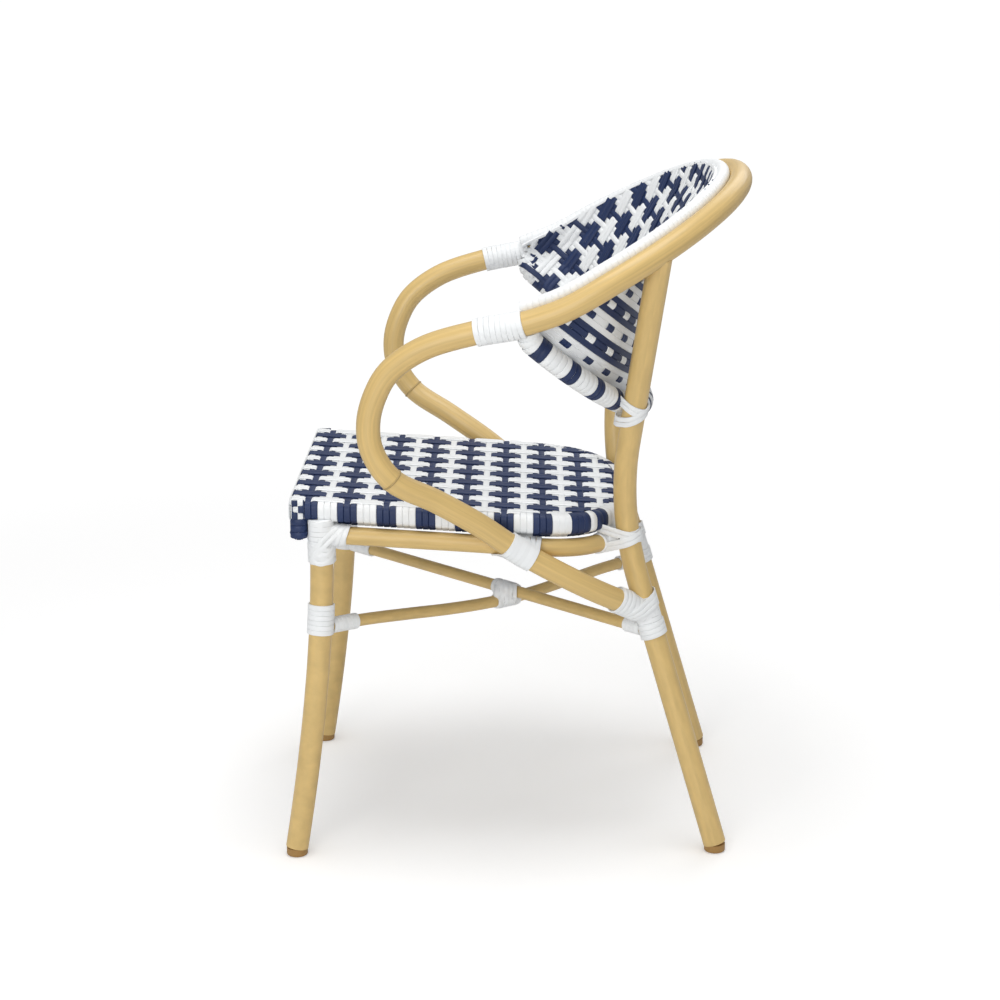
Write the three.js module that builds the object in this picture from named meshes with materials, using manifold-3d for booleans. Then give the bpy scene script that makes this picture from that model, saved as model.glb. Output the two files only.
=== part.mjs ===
// Stacking bistro armchair: bent metal tube frame, white strip lashings, woven seat and back shell.
// Millimetres, +Z up. The sitter faces -Y and the sitter's left is +X.

import * as THREE from 'three';
import { mergeVertices } from 'three/addons/utils/BufferGeometryUtils.js';
import Module from 'manifold-3d';

const wasm = await Module();
wasm.setup();

// Tube and strip stock
const mainTubeDiameter = 28;
const railDiameter = 22;
const stretcherDiameter = 15;
const edgeBindingDiameter = 16;
const backRollDiameter = 23;
const stripWidth = 5.1;
const stripThickness = 2;
const lashingThickness = 2.6;
const fitGap = 0.3;
const cutOverrun = 20;

// Back hoop, an oval in a plane that rises to the rear
const hoopHalfWidth = 286;
const hoopShoulderY = 66;
const hoopRearY = 281;
const hoopTopZ = 814;
const hoopRakeDegrees = 29;
const hoopOvalPowerShare = 2.15;

// Arm loop: how far it comes forward, and its run down to the seat rail
const armReachY = -161;
const railCrossingY = 13.5;
const lowerJointZ = 300;
const lowerRunBulge = 14;
// Each row is a share of the run forward, of the height above the crossing and of the extra half width.
const armLoopShares = [
  [0.225, 0.939, 0.93],
  [0.458, 0.904, 0.87],
  [0.722, 0.839, 0.77],
  [0.89, 0.748, 0.69],
  [0.962, 0.658, 0.66],
  [1.0, 0.551, 0.65],
  [0.985, 0.442, 0.65],
  [0.885, 0.325, 0.62],
  [0.66, 0.224, 0.36],
  [0.44, 0.118, 0.17],
];
const nodeRingHeight = 0.6;
const nodeRingWidth = 5;
const nodeRingRiseShare = 0.325;

// Seat: top surface height at the front edge and fall to the rear
const seatFrontZ = 450;
const seatRakeDegrees = 3.5;
const seatFrontY = -262;
const seatRearY = 150;
const seatHalfWidth = 196;
const seatSideStraightY = 16;
const seatOvalPowerShare = 2.6;
const seatEdgeThickness = 25;
const seatRailGap = 6.2;
const seatWebThickness = 9;
const seatRimWidth = 24;
const seatEdgeRounding = 4;
const seatCornerRadius = 9;
const frontRollThickness = 22;
const frontRollDepth = 52;
const railSideInset = 8;
const railRearInset = 12;
const railOvalPowerShare = 2.8;

// Legs
const frontLegTopY = -225;
const frontLegKneeZ = 236;
const frontLegKneeY = -231;
const frontFootHalfWidth = 203;
const frontFootY = -262;
const rearFootHalfWidth = 186;
const rearFootY = 258;
const rearLegBendHalfWidth = 150;
const rearLegBendY = 131;
const rearLegBendZ = 428;
const rearLegBendRun = 95;
const rearLegTopY = 172;
// A coped end stops this share of a tube's radius short of the other tube's middle line
const copeBackShare = 0.35;

// Crossed stretchers under the seat
const stretcherFrontZ = 290;
const stretcherRearZ = 277;

// Back roll, an oval in a plane that falls to the rear until the roll comes up to the rear legs
const backRollSideInset = 22;
const backRollFrontY = 30;
const backRollShoulderDrop = 46;
const backRollLegGap = 0.5;
const backRollFallDegrees = 40;
const backRollOvalPowerShare = 1.9;
const backShellThickness = 7;
const edgeBindingLiftDegrees = 45;

// Lashings, each named for the joint that it covers
const armWrapLoops = 9;
const armWrapFrontY = -37;
const railWrapLoops = 6;
const legBandLoops = 6;
const windingGap = 1.1;
const roundSlack = 0.3;
const pairSlack = 1;
const cornerWrapDrop = 40;
const cornerWrapRun = 38;
const frontSleeveRun = 46;
const rearSleeveRun = 40;
const rearJointWrapRun = 26;
const seatRearWrapRun = 17;
const backLashingRun = 13;
const crossingWrapRun = 17;

// Foot glides
const glideDiameter = 26;
const glideHeight = 10;
const glideChamfer = 2.5;
const glideStemDiameter = 14;
const glideStemHeight = 14;

// Facets
const mainTubeSides = 12;
const thinTubeSides = 10;
const glideSides = 12;
const windingSteps = 12;
const mainTubeStep = 30;
const thinTubeStep = 34;

const mainRadius = mainTubeDiameter / 2;
const railRadius = railDiameter / 2;
const stretcherRadius = stretcherDiameter / 2;
const bindingRadius = edgeBindingDiameter / 2;
const rollRadius = backRollDiameter / 2;
const tanOf = (degrees) => Math.tan(THREE.MathUtils.degToRad(degrees));
const vec = (x, y, z) => new THREE.Vector3(x, y, z);

const material = (color, roughness, metalness) => new THREE.MeshStandardMaterial({ color, roughness, metalness });
const bamboo = () => material(0xdabb7d, 0.42, 0.0);
const whiteStrip = () => material(0xefefec, 0.55, 0.0);
const wovenWhite = () => material(0xe9ebea, 0.6, 0.0);
const wovenNavy = () => material(0x1e3464, 0.45, 0.0);
const glidePlastic = () => material(0xb08950, 0.5, 0.0);

const meshes = [];

function place(name, geometry, look) {
  const mesh = new THREE.Mesh(geometry, look);
  mesh.name = name;
  meshes.push(mesh);
}

// Solids
function toSolid(geometry) {
  const bare = geometry.clone();
  bare.deleteAttribute('normal');
  bare.deleteAttribute('uv');
  const merged = mergeVertices(bare);
  return new wasm.Manifold(new wasm.Mesh({
    numProp: 3,
    vertProperties: new Float32Array(merged.attributes.position.array),
    triVerts: new Uint32Array(merged.index.array),
  }));
}

function toGeometry(solid) {
  const mesh = solid.getMesh();
  const geometry = new THREE.BufferGeometry();
  geometry.setAttribute('position', new THREE.BufferAttribute(mesh.vertProperties, 3));
  geometry.setIndex(new THREE.BufferAttribute(mesh.triVerts, 1));
  geometry.computeVertexNormals();
  return geometry;
}

const joined = (solids) => solids.reduce((whole, solid) => whole.add(solid));
const cutBy = (solid, cutters) => cutters.reduce((rest, cutter) => rest.subtract(cutter), solid);

// Part of a curve, so that a sleeve can follow a stretch of a tube
class Stretch extends THREE.Curve {
  constructor(whole, from, to) {
    super();
    this.whole = whole;
    this.from = from;
    this.to = to;
  }

  getPoint(t, target = new THREE.Vector3()) {
    return target.copy(this.whole.getPointAt(THREE.MathUtils.lerp(this.from, this.to, t)));
  }
}

// A round bar or tube that follows a curve
class Pipe {
  constructor(curve, radius, sides, step) {
    this.curve = curve;
    this.radius = radius;
    this.sides = sides;
    this.step = step;
    this.length = curve.getLength();
  }

  geometry(radius = this.radius, curve = this.curve) {
    const section = new THREE.Shape();
    for (let side = 0; side < this.sides; side += 1) {
      const angle = (2 * Math.PI * side) / this.sides;
      const x = radius * Math.cos(angle);
      const y = radius * Math.sin(angle);
      if (side === 0) section.moveTo(x, y);
      else section.lineTo(x, y);
    }
    const steps = Math.max(1, Math.round(curve.getLength() / this.step));
    return new THREE.ExtrudeGeometry(section, { steps, bevelEnabled: false, extrudePath: curve });
  }

  solid(extra = 0) {
    return toSolid(this.geometry(this.radius + extra));
  }

  // Room that a neighbour leaves for this pipe
  clearance() {
    return this.solid(fitGap);
  }

  sleeve(middle, run, thickness) {
    const half = run / this.length;
    const from = Math.max(0, middle - half);
    const to = Math.min(1, middle + half);
    const outer = (this.radius + fitGap + thickness) / Math.cos(Math.PI / this.sides);
    return toSolid(this.geometry(outer, new Stretch(this.curve, from, to)));
  }

  // Share of the length at which a coordinate reaches a value, between two shares
  shareAt(axis, value, from = 0, to = 1) {
    let low = from;
    let high = to;
    const rising = this.curve.getPointAt(high)[axis] > this.curve.getPointAt(low)[axis];
    for (let turn = 0; turn < 40; turn += 1) {
      const middle = (low + high) / 2;
      if ((this.curve.getPointAt(middle)[axis] < value) === rising) low = middle;
      else high = middle;
    }
    return (low + high) / 2;
  }
}

function smoothCurve(points) {
  const curve = new THREE.CatmullRomCurve3(points, false, 'centripetal');
  curve.arcLengthDivisions = 600;
  return curve;
}

const mirrorX = (point) => vec(-point.x, point.y, point.z);

// Point of a flattened oval that runs from its +X end to its -X end round the rear
function ovalPoint(halfWidth, frontY, rearY, power, turn) {
  const across = Math.cos(turn);
  const x = halfWidth * Math.sign(across) * Math.abs(across) ** (2 / power);
  const y = frontY + (rearY - frontY) * Math.sin(turn) ** (2 / power);
  return { x, y };
}

const seatTopAt = (y) => seatFrontZ - (y - seatFrontY) * tanOf(seatRakeDegrees);
const railCentreDrop = seatEdgeThickness + seatRailGap + railRadius;
const railHeightAt = (y) => seatTopAt(y) - railCentreDrop;
const railHalfWidth = seatHalfWidth - railSideInset;

// Frame curves
const hoopHeightAt = (y) => hoopTopZ - (hoopRearY - y) * tanOf(hoopRakeDegrees);

function hoopBackPoint(turn) {
  const { x, y } = ovalPoint(hoopHalfWidth, hoopShoulderY, hoopRearY, hoopOvalPowerShare, turn);
  return vec(x, y, hoopHeightAt(y));
}

// The rear leg's top stops short inside the hoop
function rearLegCurve(side) {
  const foot = vec(rearFootHalfWidth, rearFootY, 0);
  const bend = vec(rearLegBendHalfWidth, rearLegBendY, rearLegBendZ);
  const across = ((rearLegTopY - hoopShoulderY) / (hoopRearY - hoopShoulderY)) ** hoopOvalPowerShare;
  const topHalfWidth = hoopHalfWidth * (1 - across) ** (1 / hoopOvalPowerShare);
  const top = vec(topHalfWidth, rearLegTopY, hoopHeightAt(rearLegTopY));
  top.add(bend.clone().sub(top).setLength(mainRadius * copeBackShare));
  const below = bend.clone().add(foot.clone().sub(bend).setLength(rearLegBendRun));
  const above = bend.clone().add(top.clone().sub(bend).setLength(rearLegBendRun));
  const path = new THREE.CurvePath();
  const sided = (point) => vec(side * point.x, point.y, point.z);
  path.add(new THREE.LineCurve3(sided(foot), sided(below)));
  path.add(new THREE.QuadraticBezierCurve3(sided(below), sided(bend), sided(above)));
  path.add(new THREE.LineCurve3(sided(above), sided(top)));
  return path;
}

const rearLegPipe = (side) => new Pipe(rearLegCurve(side), mainRadius, mainTubeSides, mainTubeStep * 2);
const rearLegs = { 1: rearLegPipe(1), [-1]: rearLegPipe(-1) };

function rearLegPointAt(z, side) {
  const pipe = rearLegs[side];
  return pipe.curve.getPointAt(pipe.shareAt('z', z));
}

// Share of a pipe's first half where it passes nearest to the left rear leg
function shareNearestLeg(pipe) {
  const samples = 200;
  let best = 0;
  let least = Infinity;
  for (let sample = 0; sample < samples; sample += 1) {
    const share = sample / (2 * samples);
    const point = pipe.curve.getPointAt(share);
    const distance = point.distanceTo(rearLegPointAt(point.z, 1));
    if (distance < least) {
      least = distance;
      best = share;
    }
  }
  return best;
}

function frontLegCurve(side) {
  const top = vec(side * railHalfWidth, frontLegTopY, railHeightAt(frontLegTopY) + railRadius + seatRailGap + lashingThickness);
  const foot = vec(side * frontFootHalfWidth, frontFootY, 0);
  const kneeShare = frontLegKneeZ / top.z;
  const kneeX = THREE.MathUtils.lerp(foot.x, top.x, kneeShare);
  const knee = vec(kneeX, frontLegKneeY, frontLegKneeZ);
  return new THREE.QuadraticBezierCurve3(foot, knee.clone().multiplyScalar(2).sub(foot.clone().add(top).divideScalar(2)), top);
}

const frontLegPipe = (side) => new Pipe(frontLegCurve(side), mainRadius, mainTubeSides, mainTubeStep * 2);
const frontLegs = { 1: frontLegPipe(1), [-1]: frontLegPipe(-1) };

function hoopCurve() {
  const crossing = vec(
    railHalfWidth + railRadius + mainRadius + fitGap,
    railCrossingY,
    railHeightAt(railCrossingY),
  );
  const shoulder = hoopBackPoint(0);
  const loop = armLoopShares.map(([forward, up, out]) => vec(
    THREE.MathUtils.lerp(crossing.x, shoulder.x, out),
    THREE.MathUtils.lerp(shoulder.y, armReachY, forward),
    THREE.MathUtils.lerp(crossing.z, shoulder.z, up),
  ));
  const joint = rearLegPointAt(lowerJointZ, 1);
  joint.add(crossing.clone().sub(joint).setLength(mainRadius * copeBackShare));
  const lowerRun = joint.clone().lerp(crossing, 0.5);
  lowerRun.x += lowerRunBulge;
  const side = [joint, lowerRun, crossing, ...loop.reverse()];
  const back = [];
  const backSteps = 14;
  for (let step = 0; step <= backSteps; step += 1) {
    back.push(hoopBackPoint((Math.PI * step) / backSteps));
  }
  return smoothCurve([...side, ...back, ...side.map(mirrorX).reverse()]);
}

const hoop = new Pipe(hoopCurve(), mainRadius, mainTubeSides, mainTubeStep);
const loopFrontShare = hoop.shareAt('y', armReachY + fitGap, 0.05, 0.2);
const hoopMiddleShare = 0.5;
const armShareAt = (y) => hoop.shareAt('y', y, loopFrontShare + 0.03, hoopMiddleShare);
const crossingShare = hoop.shareAt('y', railCrossingY, 0, loopFrontShare - 0.03);

function seatRingCurve() {
  const rearY = seatRearY - railRearInset;
  const points = [];
  const startY = frontLegTopY;
  const straightSteps = 3;
  for (let step = 0; step < straightSteps; step += 1) {
    const y = THREE.MathUtils.lerp(startY, seatSideStraightY, step / straightSteps);
    points.push(vec(railHalfWidth, y, railHeightAt(y)));
  }
  const roundSteps = 12;
  for (let step = 0; step <= roundSteps; step += 1) {
    const turn = (Math.PI * step) / roundSteps;
    const { x, y } = ovalPoint(railHalfWidth, seatSideStraightY, rearY, railOvalPowerShare, turn);
    points.push(vec(x, y, railHeightAt(y)));
  }
  for (let step = straightSteps - 1; step >= 0; step -= 1) {
    const y = THREE.MathUtils.lerp(startY, seatSideStraightY, step / straightSteps);
    points.push(vec(-railHalfWidth, y, railHeightAt(y)));
  }
  return smoothCurve(points);
}

const seatRing = new Pipe(seatRingCurve(), railRadius, thinTubeSides, thinTubeStep);
const frontRailPipe = new Pipe(
  new THREE.LineCurve3(
    vec(railHalfWidth, frontLegTopY, railHeightAt(frontLegTopY)),
    vec(-railHalfWidth, frontLegTopY, railHeightAt(frontLegTopY)),
  ),
  railRadius,
  thinTubeSides,
  railHalfWidth * 3,
);

// One stretcher runs straight, the other bows down to pass below it where they cross
function stretcherCurve(frontSide, drop) {
  const leg = frontLegs[frontSide];
  const front = leg.curve.getPointAt(leg.shareAt('z', stretcherFrontZ));
  const rear = rearLegPointAt(stretcherRearZ, -frontSide);
  const crossing = front.x / (front.x - rear.x);
  const points = [];
  const steps = 8;
  for (let step = 0; step <= steps; step += 1) {
    const share = step / steps;
    const wayIn = share < crossing ? share / crossing : (1 - share) / (1 - crossing);
    const point = front.clone().lerp(rear, share);
    point.z -= drop * Math.sin((Math.PI / 2) * wayIn) ** 2;
    points.push(point);
  }
  return smoothCurve(points);
}

const bowDrop = stretcherDiameter + 4 * fitGap;
const stretcherLow = new Pipe(stretcherCurve(1, bowDrop), stretcherRadius, thinTubeSides, thinTubeStep * 2);
const stretcherHigh = new Pipe(stretcherCurve(-1, 0), stretcherRadius, thinTubeSides, thinTubeStep * 2);

// Back shell curves
const backRollHalfWidth = hoopHalfWidth - backRollSideInset;
const backRollFrontZ = hoopHeightAt(hoopShoulderY) - backRollShoulderDrop;

function backRollPoint(rearY, turn) {
  const { x, y } = ovalPoint(backRollHalfWidth, backRollFrontY, rearY, backRollOvalPowerShare, turn);
  return vec(x, y, backRollFrontZ - (y - backRollFrontY) * tanOf(backRollFallDegrees));
}

// Least distance from the roll's middle line to the middle line of the left rear leg
function rollLegDistance(rearY) {
  const legPoints = rearLegs[1].curve.getSpacedPoints(200);
  const samples = 90;
  let least = Infinity;
  for (let sample = 0; sample <= samples; sample += 1) {
    const point = backRollPoint(rearY, (Math.PI * sample) / (2 * samples));
    for (const legPoint of legPoints) least = Math.min(least, point.distanceTo(legPoint));
  }
  return least;
}

function backRollRearReach() {
  let near = backRollFrontY;
  let far = hoopRearY;
  for (let turn = 0; turn < 30; turn += 1) {
    const middle = (near + far) / 2;
    if (rollLegDistance(middle) > mainRadius + rollRadius + backRollLegGap) near = middle;
    else far = middle;
  }
  return near;
}

function backRollCurve() {
  const rearY = backRollRearReach();
  const points = [];
  const steps = 16;
  for (let step = 0; step <= steps; step += 1) {
    points.push(backRollPoint(rearY, (Math.PI * step) / steps));
  }
  return smoothCurve(points);
}

const backRoll = new Pipe(backRollCurve(), rollRadius, thinTubeSides, thinTubeStep);
const pitchOfWinding = stripWidth + windingGap;
const armWrapLength = armWrapLoops * pitchOfWinding;
const armWrapFromShare = armShareAt(armWrapFrontY);
const armWrapToShare = armWrapFromShare + armWrapLength / hoop.length;

// The binding lies on the inner, upper side of the hoop
function edgeBindingCurve() {
  const lift = THREE.MathUtils.degToRad(edgeBindingLiftDegrees);
  const rake = THREE.MathUtils.degToRad(hoopRakeDegrees);
  const planeUp = vec(0, -Math.sin(rake), Math.cos(rake));
  const offset = mainRadius + bindingRadius + fitGap;
  const from = armWrapToShare + (2 * stripWidth) / hoop.length;
  const points = [];
  const steps = 30;
  for (let step = 0; step <= steps; step += 1) {
    const share = THREE.MathUtils.lerp(from, 1 - from, step / steps);
    const inward = planeUp.clone().cross(hoop.curve.getTangentAt(share)).normalize();
    const point = hoop.curve.getPointAt(share);
    point.addScaledVector(inward, offset * Math.cos(lift));
    point.addScaledVector(planeUp, offset * Math.sin(lift));
    points.push(point);
  }
  return smoothCurve(points);
}

const edgeBinding = new Pipe(edgeBindingCurve(), bindingRadius, thinTubeSides, thinTubeStep);

// Woven back: a box bent between the edge binding and the back roll
function backShell(extra = 0) {
  const across = 26;
  const down = 3;
  const slab = new THREE.BoxGeometry(1, 1, 1, across, down, 1);
  const places = slab.attributes.position;
  const spot = vec(0, 0, 0);
  for (let index = 0; index < places.count; index += 1) {
    spot.fromBufferAttribute(places, index);
    const share = 0.5 - spot.x;
    const top = edgeBinding.curve.getPointAt(share);
    const bottom = backRoll.curve.getPointAt(share);
    const along = edgeBinding.curve.getTangentAt(share);
    const outward = top.clone().sub(bottom).cross(along).normalize();
    const point = bottom.clone().lerp(top, spot.y + 0.5);
    point.addScaledVector(outward, spot.z * (backShellThickness + 2 * extra));
    places.setXYZ(index, point.x, point.y, point.z);
  }
  return slab;
}

// Woven seat: a slab with a raised rim below, and a roll that hangs at its front
function seatOutline(inset) {
  const shape = new THREE.Shape();
  const half = seatHalfWidth - inset;
  const front = seatFrontY + inset;
  const rear = seatRearY - inset;
  const corner = Math.max(seatCornerRadius - inset, seatEdgeRounding);
  shape.moveTo(-half + corner, front);
  shape.lineTo(half - corner, front);
  shape.quadraticCurveTo(half, front, half, front + corner);
  const steps = 20;
  for (let step = 0; step <= steps; step += 1) {
    const { x, y } = ovalPoint(half, seatSideStraightY, rear, seatOvalPowerShare, (Math.PI * step) / steps);
    shape.lineTo(x, y);
  }
  shape.lineTo(-half, front + corner);
  shape.quadraticCurveTo(-half, front, -half + corner, front);
  return shape;
}

// Lays a flat solid on the raked plane of the seat, with z = 0 on the seat's top
function onSeatPlane(geometry) {
  geometry.rotateX(-THREE.MathUtils.degToRad(seatRakeDegrees));
  geometry.translate(0, 0, seatTopAt(0));
  return geometry;
}

function seatSlab(inset, top, bottom, rounding) {
  const geometry = new THREE.ExtrudeGeometry(seatOutline(inset + rounding), {
    depth: top - bottom - 2 * rounding,
    bevelEnabled: rounding > 0,
    bevelThickness: rounding,
    bevelSize: rounding,
    bevelSegments: 2,
    curveSegments: 4,
  });
  geometry.translate(0, 0, bottom + rounding);
  return onSeatPlane(geometry);
}

const frontRollBackY = seatFrontY + frontRollThickness;
const frontRollTopZ = seatTopAt(frontRollBackY) - seatEdgeRounding;

function frontRollRoom() {
  const width = 2 * (seatHalfWidth + cutOverrun);
  const depth = frontRollThickness + fitGap + cutOverrun;
  const height = frontRollDepth + cutOverrun;
  const room = new THREE.BoxGeometry(width, depth, height);
  room.translate(0, frontRollBackY + fitGap - depth / 2, frontRollTopZ + fitGap - height / 2);
  return toSolid(room);
}

// Room that the seat and its front roll leave for what holds them
function seatRoom() {
  return [toSolid(seatSlab(-fitGap, fitGap, -seatEdgeThickness - fitGap, 0)), frontRollRoom()];
}

function frontRollGeometry() {
  const radius = frontRollThickness / 2;
  const section = new THREE.Shape();
  const roundZ = seatFrontZ - frontRollDepth + radius;
  section.moveTo(seatFrontY, frontRollTopZ);
  section.lineTo(seatFrontY, roundZ);
  section.absarc(seatFrontY + radius, roundZ, radius, Math.PI, 2 * Math.PI, false);
  section.lineTo(frontRollBackY, frontRollTopZ);
  section.closePath();
  const geometry = new THREE.ExtrudeGeometry(section, {
    depth: 2 * (seatHalfWidth - 2 * seatEdgeRounding),
    bevelThickness: seatEdgeRounding * 2,
    bevelSize: seatEdgeRounding,
    bevelOffset: -seatEdgeRounding,
    bevelSegments: 2,
    curveSegments: 6,
  });
  // The section's X runs along Y and its Y up, so the sweep turns to run along X
  geometry.rotateX(Math.PI / 2);
  geometry.rotateZ(Math.PI / 2);
  geometry.translate(-(seatHalfWidth - 2 * seatEdgeRounding), 0, 0);
  return geometry;
}

// A flat strip wound in one unbroken run; outline(turn, along) gives the way out from the middle line
function windingGeometry(loops, centreAt, outline) {
  const count = loops * windingSteps;
  const half = stripWidth / 2;
  const shoulder = half - stripThickness / 2;
  const section = [
    [-half, 0],
    [-shoulder, stripThickness / 2],
    [shoulder, stripThickness / 2],
    [half, 0],
    [shoulder, -stripThickness / 2],
    [-shoulder, -stripThickness / 2],
  ];
  const positions = [];
  const faces = [];
  const middles = [];
  for (let index = 0; index <= count; index += 1) {
    const along = (pitchOfWinding * index) / windingSteps;
    const turn = (2 * Math.PI * index) / windingSteps;
    const { middle, axis, first, second } = centreAt(along);
    const { reach, lean } = outline(turn, along);
    const out = first.clone().multiplyScalar(lean.x).addScaledVector(second, lean.y);
    const point = middle.clone().addScaledVector(first, reach.x).addScaledVector(second, reach.y);
    middles.push(point);
    for (const [aside, up] of section) {
      const corner = point.clone().addScaledVector(axis, aside).addScaledVector(out, up);
      positions.push(corner.x, corner.y, corner.z);
    }
  }
  const ring = section.length;
  for (let index = 0; index < count; index += 1) {
    for (let corner = 0; corner < ring; corner += 1) {
      const a = index * ring + corner;
      const b = index * ring + ((corner + 1) % ring);
      faces.push(a, a + ring, b, b, a + ring, b + ring);
    }
  }
  const last = count * ring;
  for (let corner = 1; corner < ring - 1; corner += 1) {
    faces.push(0, corner, corner + 1);
    faces.push(last, last + corner + 1, last + corner);
  }
  const geometry = new THREE.BufferGeometry();
  geometry.setAttribute('position', new THREE.Float32BufferAttribute(positions, 3));
  geometry.setIndex(faces);
  if (toSolid(geometry).volume() < 0) geometry.setIndex(faces.slice().reverse());
  geometry.computeVertexNormals();
  return { geometry, gap: leastGap(middles) };
}

// Least distance between neighbouring loops, measured on the strip's middle line, less the strip's width
function leastGap(middles) {
  let least = Infinity;
  for (let index = 0; index < middles.length; index += 1) {
    for (let other = index + windingSteps / 2; other < middles.length; other += 1) {
      least = Math.min(least, middles[index].distanceTo(middles[other]));
    }
  }
  return least - stripWidth;
}

function frameAlong(pipe, from) {
  return (along) => {
    const share = from + along / pipe.length;
    const axis = pipe.curve.getTangentAt(share);
    const first = vec(0, 0, 1).cross(axis).normalize();
    const second = axis.clone().cross(first);
    return { middle: pipe.curve.getPointAt(share), axis, first, second };
  };
}

const windingReach = (radius) => (radius + fitGap + stripThickness / 2) / Math.cos(Math.PI / windingSteps);

function roundOutline(radius) {
  const reachLength = windingReach(radius);
  return (turn) => {
    const lean = { x: Math.cos(turn), y: Math.sin(turn) };
    return { lean, reach: { x: reachLength * lean.x, y: reachLength * lean.y } };
  };
}

// Round the hoop and the seat rail where they cross: each loop hugs both tubes
function pairOutline(centreAt, other, otherStraight) {
  const own = windingReach(mainRadius + pairSlack);
  return (turn, along) => {
    const lean = { x: Math.cos(turn), y: Math.sin(turn) };
    const { middle, axis, first, second } = centreAt(along);
    const spot = other.curve.getPointAt(otherStraight);
    const run = other.curve.getTangentAt(otherStraight);
    const step = middle.clone().sub(spot).dot(axis) / run.dot(axis);
    const centre = spot.addScaledVector(run, step).sub(middle);
    const flat = { x: centre.dot(first), y: centre.dot(second) };
    const stretchWay = { x: run.dot(first), y: run.dot(second) };
    const stretchLength = Math.hypot(stretchWay.x, stretchWay.y);
    const small = windingReach(railRadius + pairSlack);
    const big = small / Math.abs(run.dot(axis));
    const wayX = stretchWay.x / stretchLength;
    const wayY = stretchWay.y / stretchLength;
    const alongWay = lean.x * wayX + lean.y * wayY;
    const acrossWay = -lean.x * wayY + lean.y * wayX;
    const support = Math.hypot(big * alongWay, small * acrossWay);
    const reachOther = flat.x * lean.x + flat.y * lean.y + support;
    if (reachOther <= own) return { lean, reach: { x: own * lean.x, y: own * lean.y } };
    const u = (big * big * alongWay) / support;
    const v = (small * small * acrossWay) / support;
    return { lean, reach: { x: flat.x + u * wayX - v * wayY, y: flat.y + u * wayY + v * wayX } };
  };
}

// Frame pieces
function makeHoop() {
  const legRoom = [rearLegs[1].clearance(), rearLegs[-1].clearance()];
  const rings = [];
  const ringHeight = railHeightAt(railCrossingY)
    + nodeRingRiseShare * (hoopHeightAt(hoopShoulderY) - railHeightAt(railCrossingY));
  const oneShare = hoop.shareAt('z', ringHeight, crossingShare, loopFrontShare);
  for (const share of [oneShare, 1 - oneShare]) {
    rings.push(hoop.sleeve(share, nodeRingWidth / 2, nodeRingHeight));
  }
  place('arm_back_hoop', toGeometry(cutBy(joined([hoop.solid(), ...rings]), legRoom)), bamboo());
}

const sideName = (side) => (side > 0 ? 'left' : 'right');

function footCutter(foot) {
  const block = new THREE.BoxGeometry(4 * mainTubeDiameter, 4 * mainTubeDiameter, 2 * cutOverrun);
  block.translate(foot.x, foot.y, glideHeight + fitGap - cutOverrun);
  const bore = new THREE.CylinderGeometry(
    glideStemDiameter / 2 + fitGap,
    glideStemDiameter / 2 + fitGap,
    2 * (glideStemHeight + fitGap),
    glideSides,
  );
  bore.rotateX(Math.PI / 2);
  bore.translate(foot.x, foot.y, glideHeight);
  return [toSolid(block), toSolid(bore)];
}

// The point of a leg's axis where it meets its glide
function glideSeat(pipe) {
  const point = pipe.curve.getPointAt(pipe.shareAt('z', glideHeight));
  return vec(point.x, point.y, 0);
}

function makeGlide(name, pipe) {
  const seat = glideSeat(pipe);
  const outer = glideDiameter / 2;
  const stem = glideStemDiameter / 2;
  const profile = [
    new THREE.Vector2(0, 0),
    new THREE.Vector2(outer - glideChamfer, 0),
    new THREE.Vector2(outer, glideChamfer),
    new THREE.Vector2(outer, glideHeight),
    new THREE.Vector2(stem, glideHeight),
    new THREE.Vector2(stem, glideHeight + glideStemHeight - glideChamfer),
    new THREE.Vector2(stem - glideChamfer, glideHeight + glideStemHeight),
    new THREE.Vector2(0, glideHeight + glideStemHeight),
  ];
  const geometry = new THREE.LatheGeometry(profile, glideSides);
  geometry.rotateX(Math.PI / 2);
  geometry.translate(seat.x, seat.y, 0);
  place(name, toGeometry(toSolid(geometry)), glidePlastic());
}

function makeRearLeg(side) {
  const pipe = rearLegs[side];
  // The hoop's lower end lands on the leg, so only the leg's top is coped to the hoop
  const above = new THREE.BoxGeometry(4 * hoopHalfWidth, 4 * hoopHalfWidth, hoopTopZ);
  above.translate(0, 0, rearLegBendZ + hoopTopZ / 2);
  const topCut = hoop.clearance().intersect(toSolid(above));
  const cutters = [topCut, ...footCutter(glideSeat(pipe))];
  place(`rear_leg_${sideName(side)}`, toGeometry(cutBy(pipe.solid(), cutters)), bamboo());
  makeGlide(`rear_glide_${sideName(side)}`, pipe);
}

function makeFrontLeg(side) {
  const pipe = frontLegs[side];
  const cutters = [...footCutter(glideSeat(pipe)), ...seatRoom()];
  place(`front_leg_${sideName(side)}`, toGeometry(cutBy(pipe.solid(), cutters)), bamboo());
  makeGlide(`front_glide_${sideName(side)}`, pipe);
}

function makeRails() {
  const legRoom = [frontLegs[1].clearance(), frontLegs[-1].clearance(), ...seatRoom()];
  place('seat_ring', toGeometry(cutBy(seatRing.solid(), legRoom)), bamboo());
  place('front_cross_rail', toGeometry(cutBy(frontRailPipe.solid(), [...legRoom, seatRing.clearance()])), bamboo());
}

// Room for a front leg with the strip wound on it
function bandRoom(leg) {
  const outer = windingReach(mainRadius) + stripThickness / 2 + 3 * fitGap;
  return leg.solid(outer / Math.cos(Math.PI / leg.sides) - mainRadius);
}

function makeStretcher(name, pipe) {
  const legRoom = [...Object.values(frontLegs).map(bandRoom), ...Object.values(rearLegs).map((leg) => leg.clearance())];
  place(name, toGeometry(cutBy(pipe.solid(), legRoom)), bamboo());
}

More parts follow.
